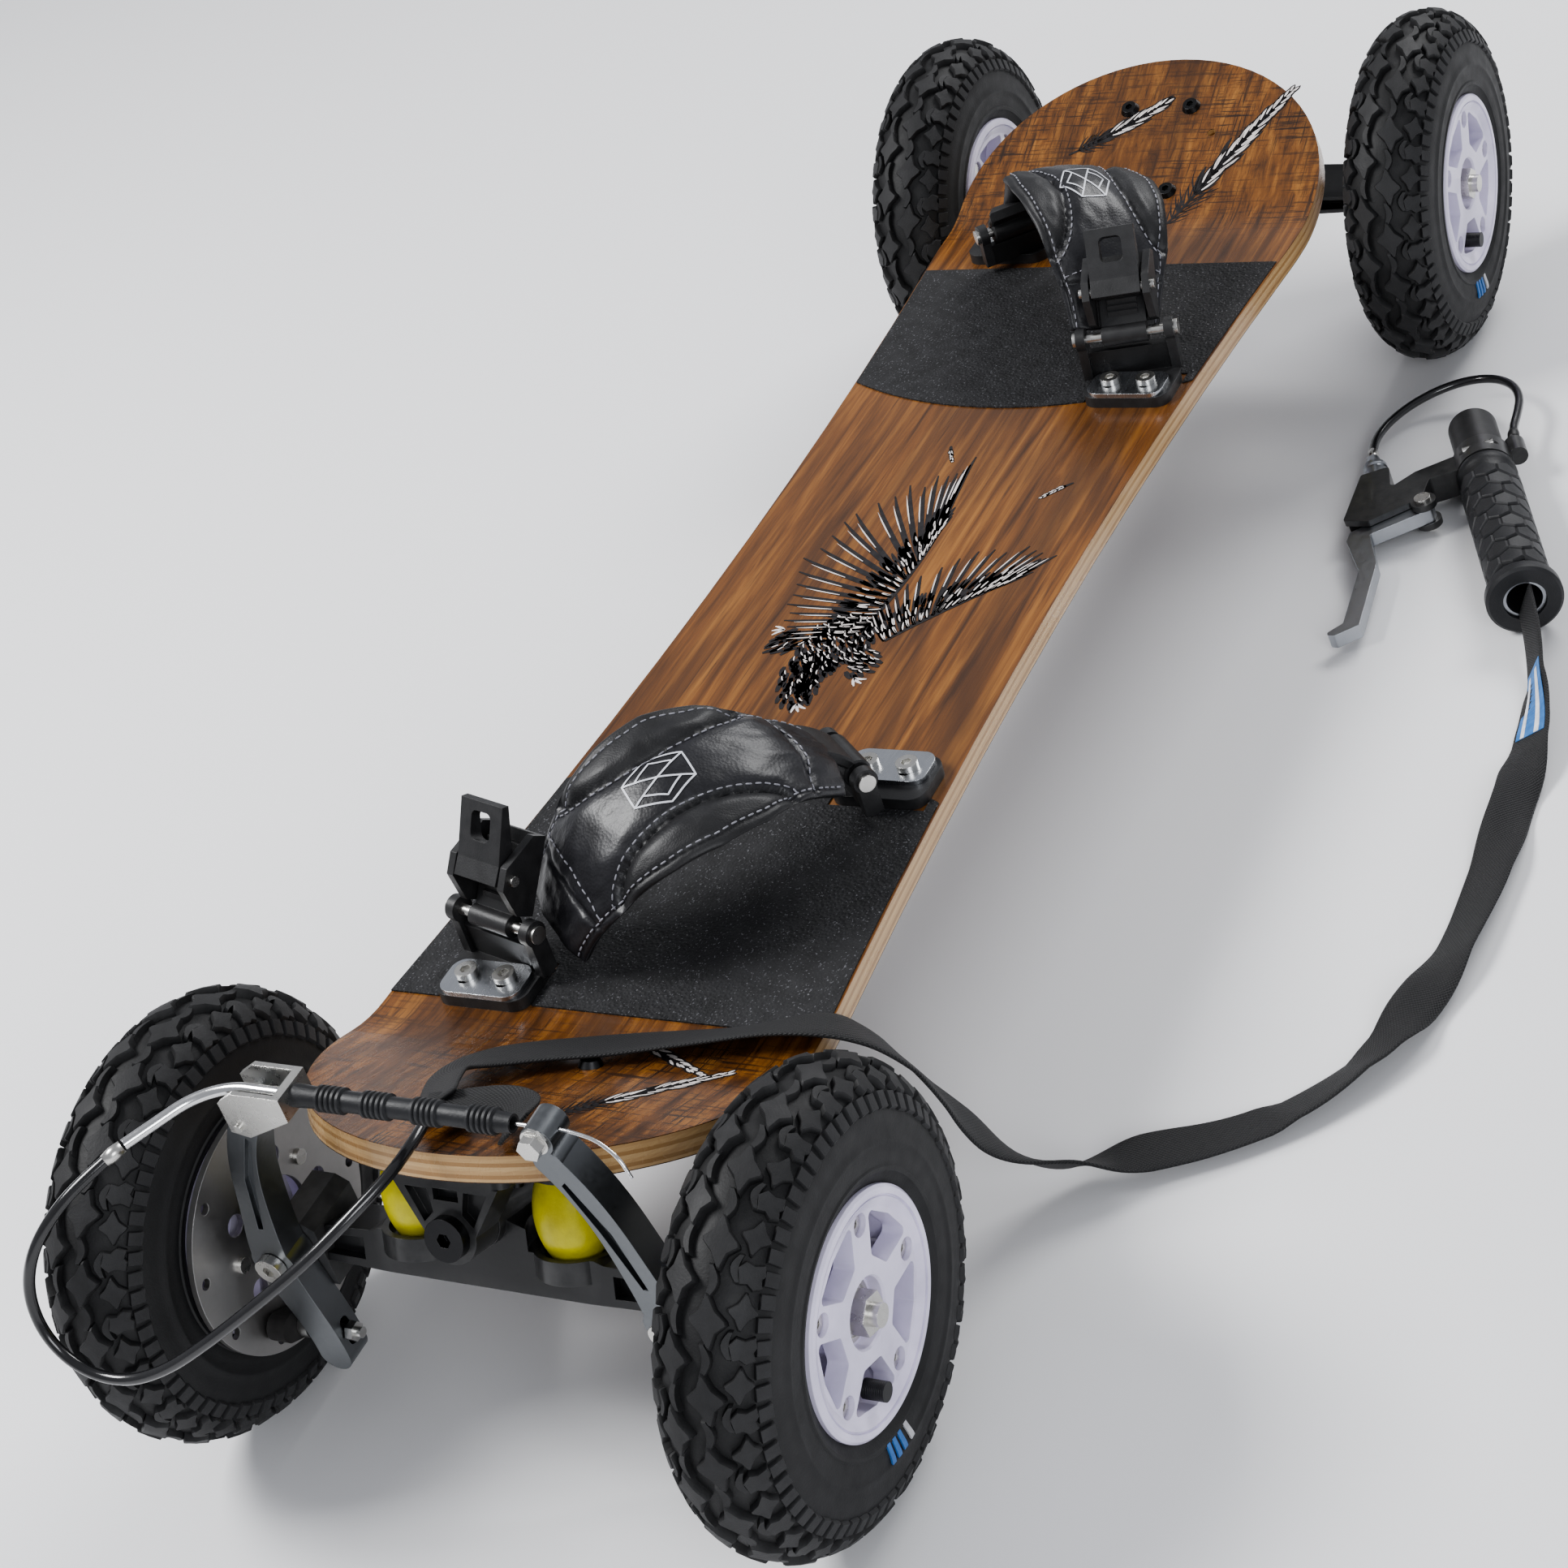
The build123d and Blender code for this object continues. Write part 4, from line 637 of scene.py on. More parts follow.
def ferrule(name, points, near, far, radius, body, finish="plated_steel"):
    """A plain end sleeve round a stretch of cable, from one share of its length to another."""
    whole, run, kept = length_of(points), 0.0, []
    for a, b in zip(points, points[1:]):
        if near * whole <= run <= far * whole:
            kept.append(a)
        run += (b - a).length
    radii = [radius * 0.86] + [radius] * (len(kept) - 2) + [radius * 0.86]
    return outward(mesh_piece(name, *tube(kept, radii, 20), paint[finish], body, finish))


ferrule("cable_end_sleeve", cable_line, 0.0, 0.035, 3.2, "left_brake_arm")
ferrule("lever_cable_sleeve", lever_cable_line, 0.0, 0.05, 3.3, "root")
ferrule("collar_cable_sleeve", lever_cable_line, 0.93, 1.0, 3.3, "root", "black_plastic")


# ---------------------------------------------------------------- tyres
SECTION_R = 72.0
PITCHES = 21
CROWN = (24.0, 24.6)  # the carcass's half height and half width, in millimetres


def star(reach_a, reach_c, waist, lean=0.0):
    """A four-pointed block with concave sides, as (across, along) offsets."""
    tips = [(reach_a, 0), (0, reach_c), (-reach_a, 0), (0, -reach_c)]
    outline = []
    for (a0, c0), (a1, c1) in zip(tips, tips[1:] + tips[:1]):
        outline += [(a0 + 0.5 * (a1 - a0) * 0.09, c0 + (c1 - c0) * 0.09)]
        outline += [((a0 + a1) / 2 * waist, (c0 + c1) / 2 * waist)]
        outline += [(a1 + (a0 - a1) * 0.09, c1 + 0.5 * (c0 - c1) * 0.09)]
    return [(a + lean * c, c) for a, c in outline]


RIB_CORNERS = 14  # only a rib has this many, and it is capped by one face


def wave(reach, bow, half):
    """A short curved rib along the tread, as (across, along) offsets."""
    steps = [k / 6 for k in range(RIB_CORNERS // 2)]
    middle = [(bow * (sin(pi * t) - 0.6), reach * (2 * t - 1)) for t in steps]
    widths = [half * (0.55 + 0.45 * sin(pi * t)) for t in steps]
    left = [(a - w, c) for (a, c), w in zip(middle, widths)]
    return left + [(a + w, c) for (a, c), w in zip(middle[::-1], widths)]


TOOTH = [(-5.6, -2.4), (-2.6, -5.4), (0.8, -4.2), (4.8, -5.4), (5.6, -1.0), (4.2, 0.8), (5.2, 4.4),
    (1.4, 5.6), (-1.2, 3.4),
         (-4.2, 3.8)]
LUG = [(-3.6, -3.2), (3.4, -3.6), (3.8, 3.4), (-3.4, 3.2)]
# each block of one pitch on one side: outline, across and along in millimetres, height
BLOCKS = [
    (star(7.6, 10.8, 0.80, 0.10), 7.0, 0.0, 4.0),
    (wave(6.4, 2.2, 1.7), 6.6, 14.4, 3.0),
    (wave(5.6, -2.0, 1.6), 14.6, 8.2, 3.0),
    (TOOTH, 20.6, 10.2, 3.6),
    (star(6.2, 7.8, 0.82, -0.12), 19.6, -4.6, 3.6),
    (LUG, 29.0, 0.2, 2.6),
    (LUG, 29.4, 9.8, 2.4),
    (LUG, 29.2, -9.4, 2.6),
]


def tread_point(across, along, height):
    """A point of the tread in the wheel's frame: axle along y, angle from the distance along it."""
    lean = across / 26.0
    r = SECTION_R + (CROWN[0] + height) * cos(lean)
    y = (CROWN[1] + height * 0.62) * sin(lean)
    turn = along / (SECTION_R + CROWN[0])
    return (r * cos(turn), y, r * sin(turn))


def tyre_mesh():
    """Carcass with ringed side walls, and knobs standing on it."""
    verts, faces = [], []
    side = [(69, 25.0), (67.6, 25.7), (66.4, 25.7), (65.4, 25.1), (62, 25.4), (58, 24.9), (57.2, 25.5),
        (55.6, 25.2)]
    side += [(54.8, 24.2), (52, 23.0), (49.4, 21.5), (46.8, 21.1), (44.7, 20.4), (44.4, 18.8), (45.2, 15.6),
        (48, 14.6)]
    side += [(52, 19), (58, 22), (70, 22.8), (84, 18.6), (92, 9.0)]
    arch = [(SECTION_R + CROWN[0] * cos(t), CROWN[1] * sin(t)) for t in np.linspace(0, pi / 2, 15)]
    half = arch + side
    loop = half + [(r, -y) for r, y in half[:0:-1]]
    around = 156
    for i in range(around):
        turn = 2 * pi * i / around
        verts += [(r * cos(turn), y, r * sin(turn)) for r, y in loop]
    faces += grid_faces(around, len(loop), wrap_rows=True, wrap_columns=True)
    pitch = 2 * pi * (SECTION_R + CROWN[0]) / PITCHES
    for n in range(PITCHES):
        for flip in (1, -1):
            for outline, across, along, height in BLOCKS:
                start = len(verts)
                count = len(outline)
                shift = (n + (0.5 if flip < 0 else 0)) * pitch
                for grow, up in ((1.06, -0.5), (1.0, height * 0.72), (0.9, height)):
                    for a, c in outline:
                        verts.append(tread_point(flip * (across + a * grow),
                            shift + flip * (along + c * grow), up))
                verts.append(tread_point(flip * across, shift + flip * along, height))
                faces += grid_faces(3, count, wrap_columns=True, start=start)
                top = start + 2 * count
                if count == RIB_CORNERS:
                    faces.append(tuple(top + k for k in range(count)))
                    verts.pop()
                    continue
                faces += [(top + k, top + (k + 1) % count, start + 3 * count) for k in range(count)]
    return verts, faces


tyre_verts, tyre_faces = tyre_mesh()
for end, ahead in ENDS.items():
    for which, out in TRACK_SIDES.items():
        turn = rng.uniform(0, 360 / PITCHES)
        place = Matrix.Translation((ahead * AXLE[0], out * AXLE[1],
            AXLE[2])) @ Matrix.Rotation(radians(turn), 4, "Y")
        moved = [place @ Vector((x, y * out, z)) for x, y, z in tyre_verts]
        name = f"{end}_{which}"
        knobby = mesh_piece(f"{name}_knobbly_tyre", moved, tyre_faces, paint["tyre_rubber"], None,
            "tyre_rubber")
        outward(knobby)
        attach(knobby, f"{name}_wheel")
        knobby.data.set_sharp_from_angle(angle=radians(38))
        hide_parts(f"{name}_tyre")

# A plain mark of slanted bars low on the outer side of each right-hand tyre
mark_blue = make_ink("mark_blue", (0.03, 0.13, 0.36), 0.5)
mark_grey = make_ink("mark_grey", (0.42, 0.42, 0.44), 0.5)
for end, ahead in ENDS.items():
    for label, ink, bars in (("blue", mark_blue, (0, 1, 2)), ("grey", mark_grey, (3.2,))):
        verts, faces = [], []
        for bar in bars:
            start = len(verts)
            for i in range(7):
                r = 56.5 + 10 * i / 6
                y = 26.1 - 0.9 * abs(r - 64) / 8
                for offset, lift in ((0, -0.6), (2.6, -0.6), (2.6, 0.25), (0, 0.25)):
                    turn = radians(-112 + bar * 4.6 + offset + (r - 56.5) * 0.22)
                    verts.append((ahead * AXLE[0] + r * cos(turn), -AXLE[1] - y - lift,
                        AXLE[2] + r * sin(turn)))
            faces += grid_faces(7, 4, wrap_columns=True, start=start)
            faces += [tuple(start + k for k in (3, 2, 1, 0)), tuple(len(verts) - 4 + k for k in range(4))]
        bars_mesh = mesh_piece(f"{end}_tyre_mark_{label}", verts, faces, ink, f"{end}_right_wheel", None,
            False)
        outward(bars_mesh)


# ---------------------------------------------------------------- strap pads
STRAPS = {"rear": ((-318, 59), (-166, -70)), "front": ((166, -70), (318, 59))}
RATCHET_YAW = {"rear": -14.5, "front": 14.5}
LADDER_PIN = (12, 28)
LADDER_SLOPE = 52.0
STRAP_TILT = 18.7
PAD_ARCH = [(-68, 22), (-63, 33), (-54, 47), (-38, 65), (-18, 76), (4, 79.5), (26, 76), (46, 67), (62, 54),
    (74, 41)]
PAD_PLAN = [(-80, 21), (-62, 27), (-46, 34), (-20, 39), (5, 41), (30, 37), (52, 28), (80, 18)]
PAD_THICK = 8.5
INSERT_MID, INSERT_REACH, INSERT_DEEP = 0.53, 0.25, 0.60
END_SEAMS = (0.20, 0.86)
STRAP_EYE = (83.7, 24.0)
TONGUE_HALF = 14.0


def strap_frame(name):
    (x0, y0), (x1, y1) = STRAPS[name]
    turn = Matrix.Rotation(atan2(y1 - y0, x1 - x0), 4, "Z")
    return Matrix.Translation(((x0 + x1) / 2, (y0 + y1) / 2, DECK_T)) @ turn


def ladder_frame(name):
    x0, y0 = STRAPS[name][0]
    anchor = Matrix.Translation((x0, y0, DECK_T)) @ Matrix.Rotation(radians(RATCHET_YAW[name]), 4, "Z")
    return anchor @ Matrix.Translation((LADDER_PIN[0], 0,
        LADDER_PIN[1])) @ Matrix.Rotation(radians(-LADDER_SLOPE), 4, "Y")


def through(points, t):
    """A point of a smooth curve through evenly counted points, for t from 0 to 1."""
    span = t * (len(points) - 1)
    i = min(int(span), len(points) - 2)
    u = span - i
    p = [np.array(points[min(max(i + k, 0), len(points) - 1)], float) for k in (-1, 0, 1, 2)]
    slope_a, slope_b = (p[2] - p[0]) / 2, (p[3] - p[1]) / 2
    u2, u3 = u * u, u * u * u
    near = (2 * u3 - 3 * u2 + 1) * p[1] + (u3 - 2 * u2 + u) * slope_a
    return near + (3 * u2 - 2 * u3) * p[2] + (u3 - u2) * slope_b


def pad_width(x):
    xs, ws = zip(*PAD_PLAN)
    return float(np.interp(x, xs, ws))


def gap_to_insert(s, t, long):
    """Rough distance in millimetres from the insert's outline; negative inside it."""
    k = (s - INSERT_MID) / INSERT_REACH
    m = (1 - abs(t)) / INSERT_DEEP
    q = hypot(k, m)
    return (q - 1) * (INSERT_REACH * long * abs(k) + INSERT_DEEP * 38 * m) / max(q, 0.05)


def groove(distance, depth, width):
    return -depth * np.exp(-((distance / width) ** 2))


class Pad:
    """The padded strap over one foot: a crowned arch with sewn inserts, in the row frame."""

    def __init__(self, name):
        self.name = name
        self.tilt = Matrix.Rotation(radians(STRAP_TILT), 4, "X")
        self.place = strap_frame(name)
        self.under = ladder_frame(name)
        self.over = self.under.inverted()
        self.long = sum(
            float(np.linalg.norm(through(PAD_ARCH, (i + 1) / 40) - through(PAD_ARCH,
                i / 40))) for i in range(40)
        )

    def middle(self, s, t):
        x, z = through(PAD_ARCH, s)
        dx, dz = through(PAD_ARCH, min(1, s + 0.01)) - through(PAD_ARCH, max(0, s - 0.01))
        size = hypot(dx, dz)
        out = Vector((-dz / size, 0, dx / size))
        sag = 4.5 * abs(t) ** 2.3
        at = Vector((x, t * pad_width(x), z)) - out * sag
        lean = Vector((0, t * abs(t) * 0.34, 0))
        return at, (out + lean).normalized()

    def relief(self, s, t):
        """Padding, sewn channels and creases of the outer face, in millimetres."""
        long = self.long
        gap = gap_to_insert(s, t, long)
        high = groove(gap, 2.0, 1.7)
        if gap < 0:
            high += -1.6 + 3.4 * smooth(-gap / 12)
        else:
            high += 1.6 * smooth(gap / 12)
        for seam in END_SEAMS:
            high += groove((s - seam) * long, 1.3, 1.5)
        high += groove((1 - abs(t)) * 38 - 4.2, 0.9, 1.2)
        spot = Vector((s * 7, t * 2.2, 3.1 if self.name == "rear" else 8.7))
        high += 1.5 * noise.noise(spot) + 0.5 * noise.noise(spot * 3.1)
        return high

    def point(self, s, t, lift=0.0, inner=False):
        at, out = self.middle(s, t)
        round_off = sqrt(max(0.0, 1 - abs(t) ** 9)) * sqrt(max(0.0, 1 - abs(2 * s - 1) ** 40))
        if inner:
            at = at - out * (PAD_THICK * round_off - 1.2 * round_off * sin(pi * s))
        else:
            at = at + out * (self.relief(s, t) * round_off + lift)
        at = self.place @ self.tilt @ at
        below = self.over @ at
        if abs(below.y) < 24 and -8 < below.x < 46:
            roof = -12.0 if inner else -5.6 + lift
            if below.z > roof:
                share = smooth((24 - abs(below.y)) / 3.5)
                below.z += (roof - below.z) * share
                at = self.under @ below
        return at

    def face(self, s, t, lift=0.0):
        """A point on the outer face, with the face's direction there."""
        step = 0.006
        low, high = max(s - step, 0), min(s + step, 1)
        along = self.point(high, t) - self.point(low, t)
        across = self.point(s, min(t + step, 0.99)) - self.point(s, max(t - step, -0.99))
        out = along.cross(across).normalized()
        return self.point(s, t) + out * lift, out, along.normalized()


def thread(name, pad, rows, body="root"):
    """Rows of short stitches lying on a pad; each row is a list of (s, t)."""
    verts, faces = [], []
    pitch, stitch, thick = 4.4, 2.9, 0.42
    for row in rows:
        points = [pad.face(s, t, 0.25) for s, t in row]
        run, due = 0.0, 1.0
        for (a, out, _), (b, _, _) in zip(points, points[1:]):
            step = (b - a).length
            while due <= run + step:
                at = a.lerp(b, (due - run) / step)
                ahead = (b - a).normalized()
                side = out.cross(ahead).normalized()
                start = len(verts)
                for k, r in ((-0.5, 0.45), (-0.34, 1.0), (0.34, 1.0), (0.5, 0.45)):
                    for j in range(6):
                        turn = 2 * pi * j / 6
                        around = (side * cos(turn) + out * sin(turn)) * (thick * r)
                        verts.append(at + ahead * (k * stitch) + around)
                faces += grid_faces(4, 6, wrap_columns=True, start=start)
                faces += [tuple(start + j for j in range(5, -1, -1)), tuple(start + 18 + j for j in range(6))]
                due += pitch
            run += step
    made = mesh_piece(name, verts, faces, thread_paint, body, None)
    return outward(made)


def pad_rows():
    """Where the strap pad's stitches run."""
    rows = []
    for side in (1, -1):
        turns = np.linspace(0.06 * pi, 0.94 * pi, 60)
        rows.append(
            [
                (INSERT_MID - 1.07 * INSERT_REACH * cos(k), side * (1 - (INSERT_DEEP + 0.045) * sin(k)))
                for k in turns
            ]
        )
        rows.append([(s, side * 0.86) for s in np.linspace(0.03, 0.97, 120)])
    for seam, off in ((END_SEAMS[0], 0.016), (END_SEAMS[1], -0.016)):
        rows.append([(seam + off + 0.03 * (1 - t * t), t) for t in np.linspace(-0.84, 0.84, 50)])
    return rows


def emblem(name, pad, strokes):
    """A plain light outline printed on the pad; strokes are lists of (s, t)."""
    verts, faces = [], []
    for stroke in strokes:
        start = len(verts)
        fine = []
        for (s0, t0), (s1, t1) in zip(stroke, stroke[1:]):
            fine += [(s0 + (s1 - s0) * k / 8, t0 + (t1 - t0) * k / 8) for k in range(8)]
        fine.append(stroke[-1])
        for s, t in fine:
            at, out, _ = pad.face(s, t, 0.22)
            verts.append((at, out))
        line = [v[0] for v in verts[start:]]
        bases = []
        for i, at in enumerate(line):
            ahead = (line[min(i + 1, len(line) - 1)] - line[max(i - 1, 0)]).normalized()
            out = verts[start + i][1]
            side = ahead.cross(out).normalized() * 0.45
            bases += [at - side, at + side, at + side + out * 0.12, at - side + out * 0.12]
        del verts[start:]
        verts += [(b, None) for b in bases]
        faces += grid_faces(len(line), 4, wrap_columns=True, start=start)
        faces += [tuple(start + k for k in (3, 2, 1, 0)), tuple(len(verts) - 4 + k for k in range(4))]
    return outward(mesh_piece(name, [v[0] for v in verts], faces, print_paint, "root", None,
        shade_smooth=False))


def tongue(name, pad):
    """The moulded strap end that joins the pad to its pin, with a ring round the pin."""
    line = [(50, 49), (60, 46.5), (70, 41.5), (78, 34.5), (82.6, 28.5)]
    verts, faces = [], []
    rows = 15
    for i in range(rows):
        x, z = through(line, i / (rows - 1))
        dx, dz = through(line, min(1, i / (rows - 1) + 0.02)) - through(line, max(0, i / (rows - 1) - 0.02))
        size = hypot(dx, dz)
        nx, nz = -dz / size, dx / size
        half = TONGUE_HALF + 6 * (1 - smooth(i / 6))
        for y, h in ((-half + 1, 2.6), (half - 1, 2.6), (half, 1.6), (half, -1.6), (half - 1, -2.6),
            (-half + 1, -2.6),
                     (-half, -1.6), (-half, 1.6)):
            verts.append(pad.place @ Vector((x + nx * h, y, z + nz * h)))
    faces += grid_faces(rows, 8, wrap_columns=True)
    faces += [tuple(range(8))[::-1], tuple(range(len(verts) - 8, len(verts)))]
    start, sides = len(verts), 28
    ring = [(-TONGUE_HALF, 3.2), (-TONGUE_HALF, 6.0), (-TONGUE_HALF + 0.9, 6.9), (TONGUE_HALF - 0.9, 6.9),
        (TONGUE_HALF, 6.0),
            (TONGUE_HALF, 3.2)]
    for y, r in ring:
        for k in range(sides):
            a = 2 * pi * k / sides
            verts.append(pad.place @ Vector((STRAP_EYE[0] + r * cos(a), y, STRAP_EYE[1] + r * sin(a))))
    faces += grid_faces(len(ring), sides, wrap_rows=True, wrap_columns=True, start=start)
    made = outward(mesh_piece(name, verts, faces, paint["black_plastic"], "root", "black_plastic"))
    made.data.set_sharp_from_angle(angle=radians(35))
    return made


thread_finish = Finish("stitch_thread", (0.42, 0.42, 0.46), 0.6)
thread_finish.put("Base Color", thread_finish.ramp(thread_finish.noise(300, 2), (0.3, (0.16, 0.16, 0.18)),
    (0.7, (0.34, 0.34, 0.38))))
thread_finish.bump(thread_finish.noise(2500, 2), 0.00008)
thread_paint = thread_finish.material
print_paint = make_ink("pad_print", (0.55, 0.56, 0.60))
insert_paint = make_leather("insert_cloth", (0.006, 0.006, 0.007), 0.5, 1100)
HEX = [(0.515 + 0.085 * sin(pi * k / 3), 0.05 + 0.34 * cos(pi * k / 3)) for k in range(7)]
EMBLEM = [HEX, [(s + 0.0, t) for s, t in (HEX[1], HEX[4])], [HEX[2], (0.515, 0.05), HEX[5]],
          [(0.47, 0.16), (0.515, 0.30), (0.56, 0.16)], [(0.47, -0.06), (0.515, -0.2), (0.56, -0.06)]]

for name in STRAPS:
    pad = Pad(name)
    stations, columns = 132, 61
    verts, faces = [], []
    ss = np.linspace(0, 1, stations)
    ts = np.sin(np.linspace(-pi / 2, pi / 2, columns))
    for inner in (False, True):
        for s in ss:
            verts += [pad.point(s, t, inner=inner) for t in ts]
    count = stations * columns
    faces += grid_faces(stations, columns)
    faces += [f[::-1] for f in grid_faces(stations, columns, start=count)]
    edge = [i * columns for i in range(stations)] + [(stations - 1) * columns + j for j in range(1, columns)]
    edge += [i * columns + columns - 1 for i in range(stations - 2, -1,
        -1)] + [j for j in range(columns - 2, 0, -1)]
    faces += [(a, b, b + count, a + count) for a, b in zip(edge, edge[1:] + edge[:1])]
    padded = mesh_piece(f"{name}_strap_cushion", verts, faces, [paint["black_leather"], insert_paint],
        "root", "black_leather")
    for polygon in padded.data.polygons:
        i, j = divmod(polygon.vertices[0] % count, columns)
        inside = gap_to_insert(ss[i], ts[j], pad.long) < 0
        polygon.material_index = 1 if inside or polygon.vertices[0] >= count else 0
    outward(padded)
    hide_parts(f"{name}_strap_pad")
    thread(f"{name}_strap_stitching", pad, pad_rows())
    emblem(f"{name}_strap_emblem", pad, EMBLEM)
    tongue(f"{name}_strap_tongue", pad)


# ---------------------------------------------------------------- handle grip
GRIP_R = 16.5
GRIP_LONG = 130.0
FLANGE_R = 20.0


def grip_mesh():
    """A soft sleeve with rows of raised hexagons, in the handle's frame."""
    sides = 72
    outer = [(0, 13), (0, 18.4), (1.4, FLANGE_R - 0.1), (7, FLANGE_R - 0.2), (9, 18.6), (10.5, 15.0),
        (13, 14.3)]
    outer += [(GRIP_LONG - 9, 14.3), (GRIP_LONG - 6.5, 15.8), (GRIP_LONG - 5, 16.4),
        (GRIP_LONG - 1.2, 16.2), (GRIP_LONG, 15.2)]
    profile = outer + [(GRIP_LONG, 11.2), (0, 11.2)]
    verts = []
    for x, r in profile:
        verts += [Vector((x, r * cos(2 * pi * k / sides), r * sin(2 * pi * k / sides))) for k in range(sides)]
    faces = grid_faces(len(profile), sides, wrap_rows=True, wrap_columns=True)
    around, across = 8, 6.5
    step = across * 1.5 + 1.5
    rows = int((GRIP_LONG - 24) // step)
    start_x = 12 + (GRIP_LONG - 20 - (rows - 1) * step) / 2 - 1
    for i in range(rows):
        for j in range(around):
            middle = 2 * pi * (j + 0.5 * (i % 2)) / around
            start = len(verts)
            for grow, r in ((1.1, 14.0), (1.02, 15.8), (0.86, GRIP_R)):
                for k in range(6):
                    turn = pi * k / 3
                    x = start_x + i * step + across * grow * cos(turn)
                    angle = middle + across * grow * sin(turn) / 14.6
                    verts.append(Vector((x, r * cos(angle), r * sin(angle))))
            verts.append(Vector((start_x + i * step, GRIP_R * cos(middle), GRIP_R * sin(middle))))
            faces += grid_faces(3, 6, wrap_columns=True, start=start)
            faces += [(start + 12 + k, start + 12 + (k + 1) % 6, start + 18) for k in range(6)]
    return verts, faces


grip_verts, grip_faces = grip_mesh()
to_row = [HANDLE @ (v * MM) / MM for v in grip_verts]
sleeve = outward(mesh_piece("hexagon_grip", to_row, grip_faces, paint["grip_rubber"], "root", "grip_rubber"))
sleeve.data.set_sharp_from_angle(angle=radians(38))
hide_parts("grip")

# A plain woven patch, blue with a pale stripe, sewn on the leash beside the handle
patch_paint = make_ink("leash_patch", (0.05, 0.17, 0.42), 0.55)
stripe_paint = make_ink("leash_stripe", (0.62, 0.64, 0.68), 0.55)


def on_band(points, tilts, near, far, left, right, lift, thick):
    """A strip lying on a webbing's upper face, between shares of its length and width offsets."""
    whole, run, verts, rows = length_of(points), 0.0, [], 0
    for i, at in enumerate(points):
        if i:
            run += (at - points[i - 1]).length
        if not near * whole <= run <= far * whole:
            continue
        ahead = (points[min(i + 1, len(points) - 1)] - points[max(i - 1, 0)]).normalized()
        level = ahead.cross(Vector((0, 0, 1))).normalized()
        above = level.cross(ahead)
        tilt = radians(eased(tilts, run / whole))
        side = level * cos(tilt) + above * sin(tilt)
        normal = above * cos(tilt) - level * sin(tilt)
        for x, z in ((left, lift), (right, lift), (right, lift + thick), (left, lift + thick)):
            verts.append(at + side * x + normal * z)
        rows += 1
    faces = grid_faces(rows, 4, wrap_columns=True)
    return verts, faces + [(3, 2, 1, 0), tuple(len(verts) - 4 + k for k in range(4))]


for label, spans, lift, shade in (
    ("leash_patch", [(0.875, 0.945, -8.5, 8.5)], 0.86, patch_paint),
    ("leash_patch_stripes", [(0.88, 0.94, -5.6, -3.4), (0.88, 0.94, 2.6, 5.4)], 1.16, stripe_paint),
):
    verts, faces = [], []
    for near, far, left, right in spans:
        more, sides = on_band(leash_line, LEASH_TILTS, near, far, left, right, lift, 0.3)
        faces += [tuple(len(verts) + k for k in face) for face in sides]
        verts += more
    outward(mesh_piece(label, verts, faces, shade, "root", None, shade_smooth=False))


# ---------------------------------------------------------------- deck prints
DARK = make_ink("dark_print", (0.011, 0.009, 0.010))
PALE = make_ink("pale_print", (0.60, 0.56, 0.54))


def on_deck(x, y, lift):
    """A point above the deck's upper face, from the distance measured along it from the middle."""
    side, run = (1 if x >= 0 else -1), abs(x)
    arc = BEND_R * TIP
    if run <= BEND_X:
        return (x, y, DECK_T + lift)
    turn = min((run - BEND_X) / BEND_R, TIP)
    past = max(run - BEND_X - arc, 0.0)
    r = BEND_R - lift
    at = BEND_X + r * sin(turn) + past * cos(TIP)
    return (side * at, y, DECK_T + BEND_R - r * cos(turn) + past * sin(TIP))


class Drawing:
    """Ink strokes laid on the deck: thin closed strips, tapered at both ends."""

    def __init__(self, name, ink, lift):
        self.name, self.ink, self.lift = name, ink, lift
        self.verts, self.faces = [], []

    def stroke(self, points, width, blunt=0.12):
        start, count = len(self.verts), len(points)
        for i, (x, y) in enumerate(points):
            (x0, y0), (x1, y1) = points[max(i - 1, 0)], points[min(i + 1, count - 1)]
            size = hypot(x1 - x0, y1 - y0) or 1
            share = i / (count - 1)
            half = width / 2 * max(blunt, sin(pi * min(0.12 + 0.88 * share, 1)) ** 0.6)
            nx, ny = -(y1 - y0) / size * half, (x1 - x0) / size * half
            for sign, up in ((1, 0), (-1, 0), (-1, 0.05), (1, 0.05)):
                self.verts.append(on_deck(x + sign * nx, y + sign * ny, self.lift + up))
        self.faces += grid_faces(count, 4, wrap_columns=True, start=start)
        self.faces += [tuple(start + k for k in (3, 2, 1, 0)),
            tuple(len(self.verts) - 4 + k for k in range(4))]

    def finish(self):
        return outward(mesh_piece(self.name, self.verts, self.faces, self.ink, "root", None,
            shade_smooth=False))


dark_art = Drawing("dark_artwork", DARK, 0.08)
pale_art = Drawing("pale_artwork", PALE, 0.16)


def bent(start, heading, length, bend, count=6):
    """Points of a gently curving line; bend is its whole turn in degrees."""
    x, y = start
    points, step = [(x, y)], length / (count - 1)
    for i in range(1, count):
        a = radians(heading + bend * i / (count - 1))
        x, y = x + step * cos(a), y + step * sin(a)
        points.append((x, y))
    return points


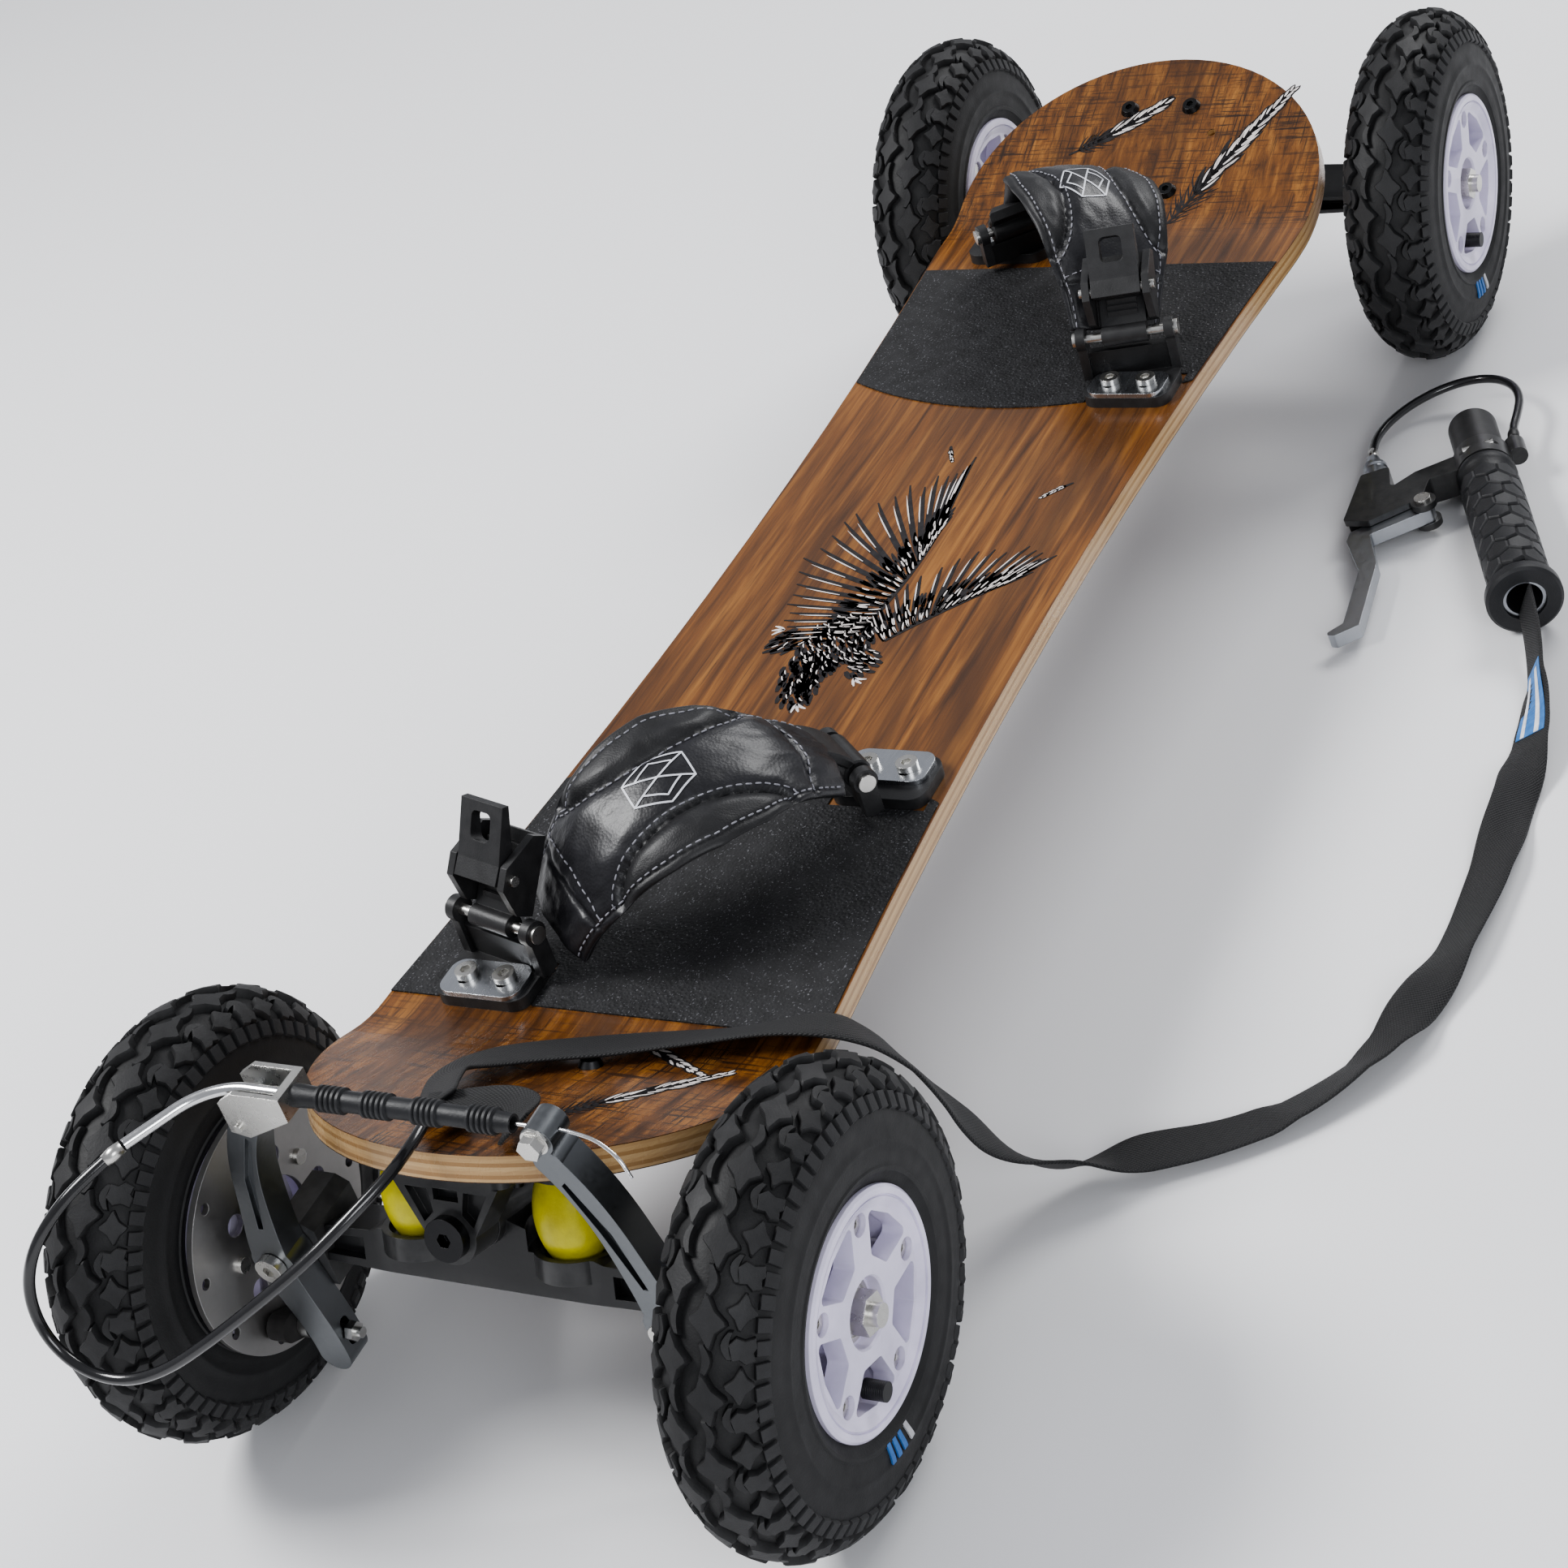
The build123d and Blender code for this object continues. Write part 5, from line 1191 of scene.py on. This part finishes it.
def feather(base, heading, length, width, bend=12, barbs=20, pale_from=0.3):
    """A ragged feather: shaft, dark barbs, and pale strokes between them towards its end."""
    shaft = bent(base, heading, length, bend, 24)
    dark_art.stroke(shaft, 2.2, 0.4)
    for k in range(2, barbs):
        share = k / barbs
        i = min(int(share * 23), 22)
        (x0, y0), (x1, y1) = shaft[i], shaft[i + 1]
        ahead = degrees(atan2(y1 - y0, x1 - x0))
        reach = width * (0.35 + 0.65 * sin(pi * min(share * 0.92 + 0.1, 1.0)) ** 0.8)
        for side in (1, -1):
            lean = side * (34 - 10 * share + rng.uniform(-6, 6))
            long = reach * rng.uniform(0.78, 1.12)
            if share < pale_from:
                for spread in (-9, 9):
                    dark_art.stroke(bent((x0, y0), ahead + lean + spread + side * 14, long * 0.8,
                        -side * 22), 0.9)
            else:
                dark_art.stroke(bent((x0, y0), ahead + lean, long, -side * 24), length / barbs * 0.85)
                if rng.random() < 0.82:
                    off = bent((x0, y0), ahead + lean, long, -side * 24)
                    inner = [(x + 0.4 * cos(radians(ahead)), y + 0.4 * sin(radians(ahead))) for x,
                        y in off[1:5]]
                    pale_art.stroke(inner, length / barbs * 0.34)


def wing(arm, aims, sizes, count):
    """A wing: long feathers from an arm, swinging from the first aim to the last, and short ones."""
    for k in range(count):
        share = k / (count - 1)
        at = arm[int(share * (len(arm) - 1))]
        aim = eased([(0, aims[0]), (1, aims[1])], share)
        size = eased([(0, sizes[0]), (0.55, sizes[1]), (1, sizes[2])], share) * rng.uniform(0.94, 1.05)
        dark_art.stroke(bent(at, aim, size, -10, 9), 3.2, 0.25)
        pale_art.stroke(bent(at, aim + 1.5, size, -10, 9)[4:8], 0.8)
    for row, size, pale in ((0.0, 13, 0.75), (8.0, 12, 0.6), (15.0, 10, 0.35)):
        for k in range(2 * count):
            share = k / (2 * count - 1)
            at = arm[int(share * (len(arm) - 1))]
            aim = eased([(0, aims[0]), (1, aims[1])], share) + rng.uniform(-12, 12)
            x, y = at[0] + row * cos(radians(aim)), at[1] + row * sin(radians(aim))
            dark_art.stroke(bent((x, y), aim, size, -12, 5), 2.1, 0.4)
            if rng.random() < pale:
                pale_art.stroke(bent((x + 1, y), aim + 3, size * 0.5, -10, 4), 0.95, 0.4)
    dark_art.stroke(arm, 3.4, 0.4)


def scales(middle, along, across, heading, count, pale):
    """Small overlapping body feathers filling an oval."""
    for k in range(count):
        r, turn = sqrt((k + 0.5) / count), k * 2.39996
        x, y = middle[0] + along * r * cos(turn), middle[1] + across * r * sin(turn)
        aim = heading + rng.uniform(-22, 22)
        dark_art.stroke(bent((x, y), aim, 7.5, 20, 4), 3.0, 0.5)
        if rng.random() < pale:
            pale_art.stroke(bent((x, y), aim + 10, 3.6, 24, 4), 0.8, 0.5)


wing(bent((-52, -4), -10, 88, 10, 24), (104, 12), (44, 74, 66), 24)
wing(bent((-58, -20), -34, 66, -16, 20), (40, -30), (30, 52, 34), 17)
scales((-58, 6), 22, 19, 200, 120, 0.5)
scales((-82, 12), 16, 13, 190, 60, 0.25)
scales((-98, 8), 13, 9, 185, 30, 0.2)
scales((-60, 30), 10, 9, 120, 24, 0.2)
scales((-74, -14), 12, 7, 220, 26, 0.7)
for x, y, heading in ((-52, 38, 80), (-88, -17, 215), (-110, 4, 190)):
    for spread in (-32, 0, 32):
        pale_art.stroke(bent((x, y), heading + spread, 7, 30, 4), 1.7, 0.4)

feather((113, 15), 200, 17, 4, 10, 9, 0.2)
feather((80, -68), 130, 20, 5, 14, 9, 0.2)
feather((337, -24), -24, 118, 21, -9, 30)
feather((398, 50), -62, 70, 17, 14, 20)
feather((-424, -30), -36, 84, 15, -6, 24)
feather((-340, -20), -112, 60, 10, -8, 16)
dark_art.finish()
pale_art.finish()
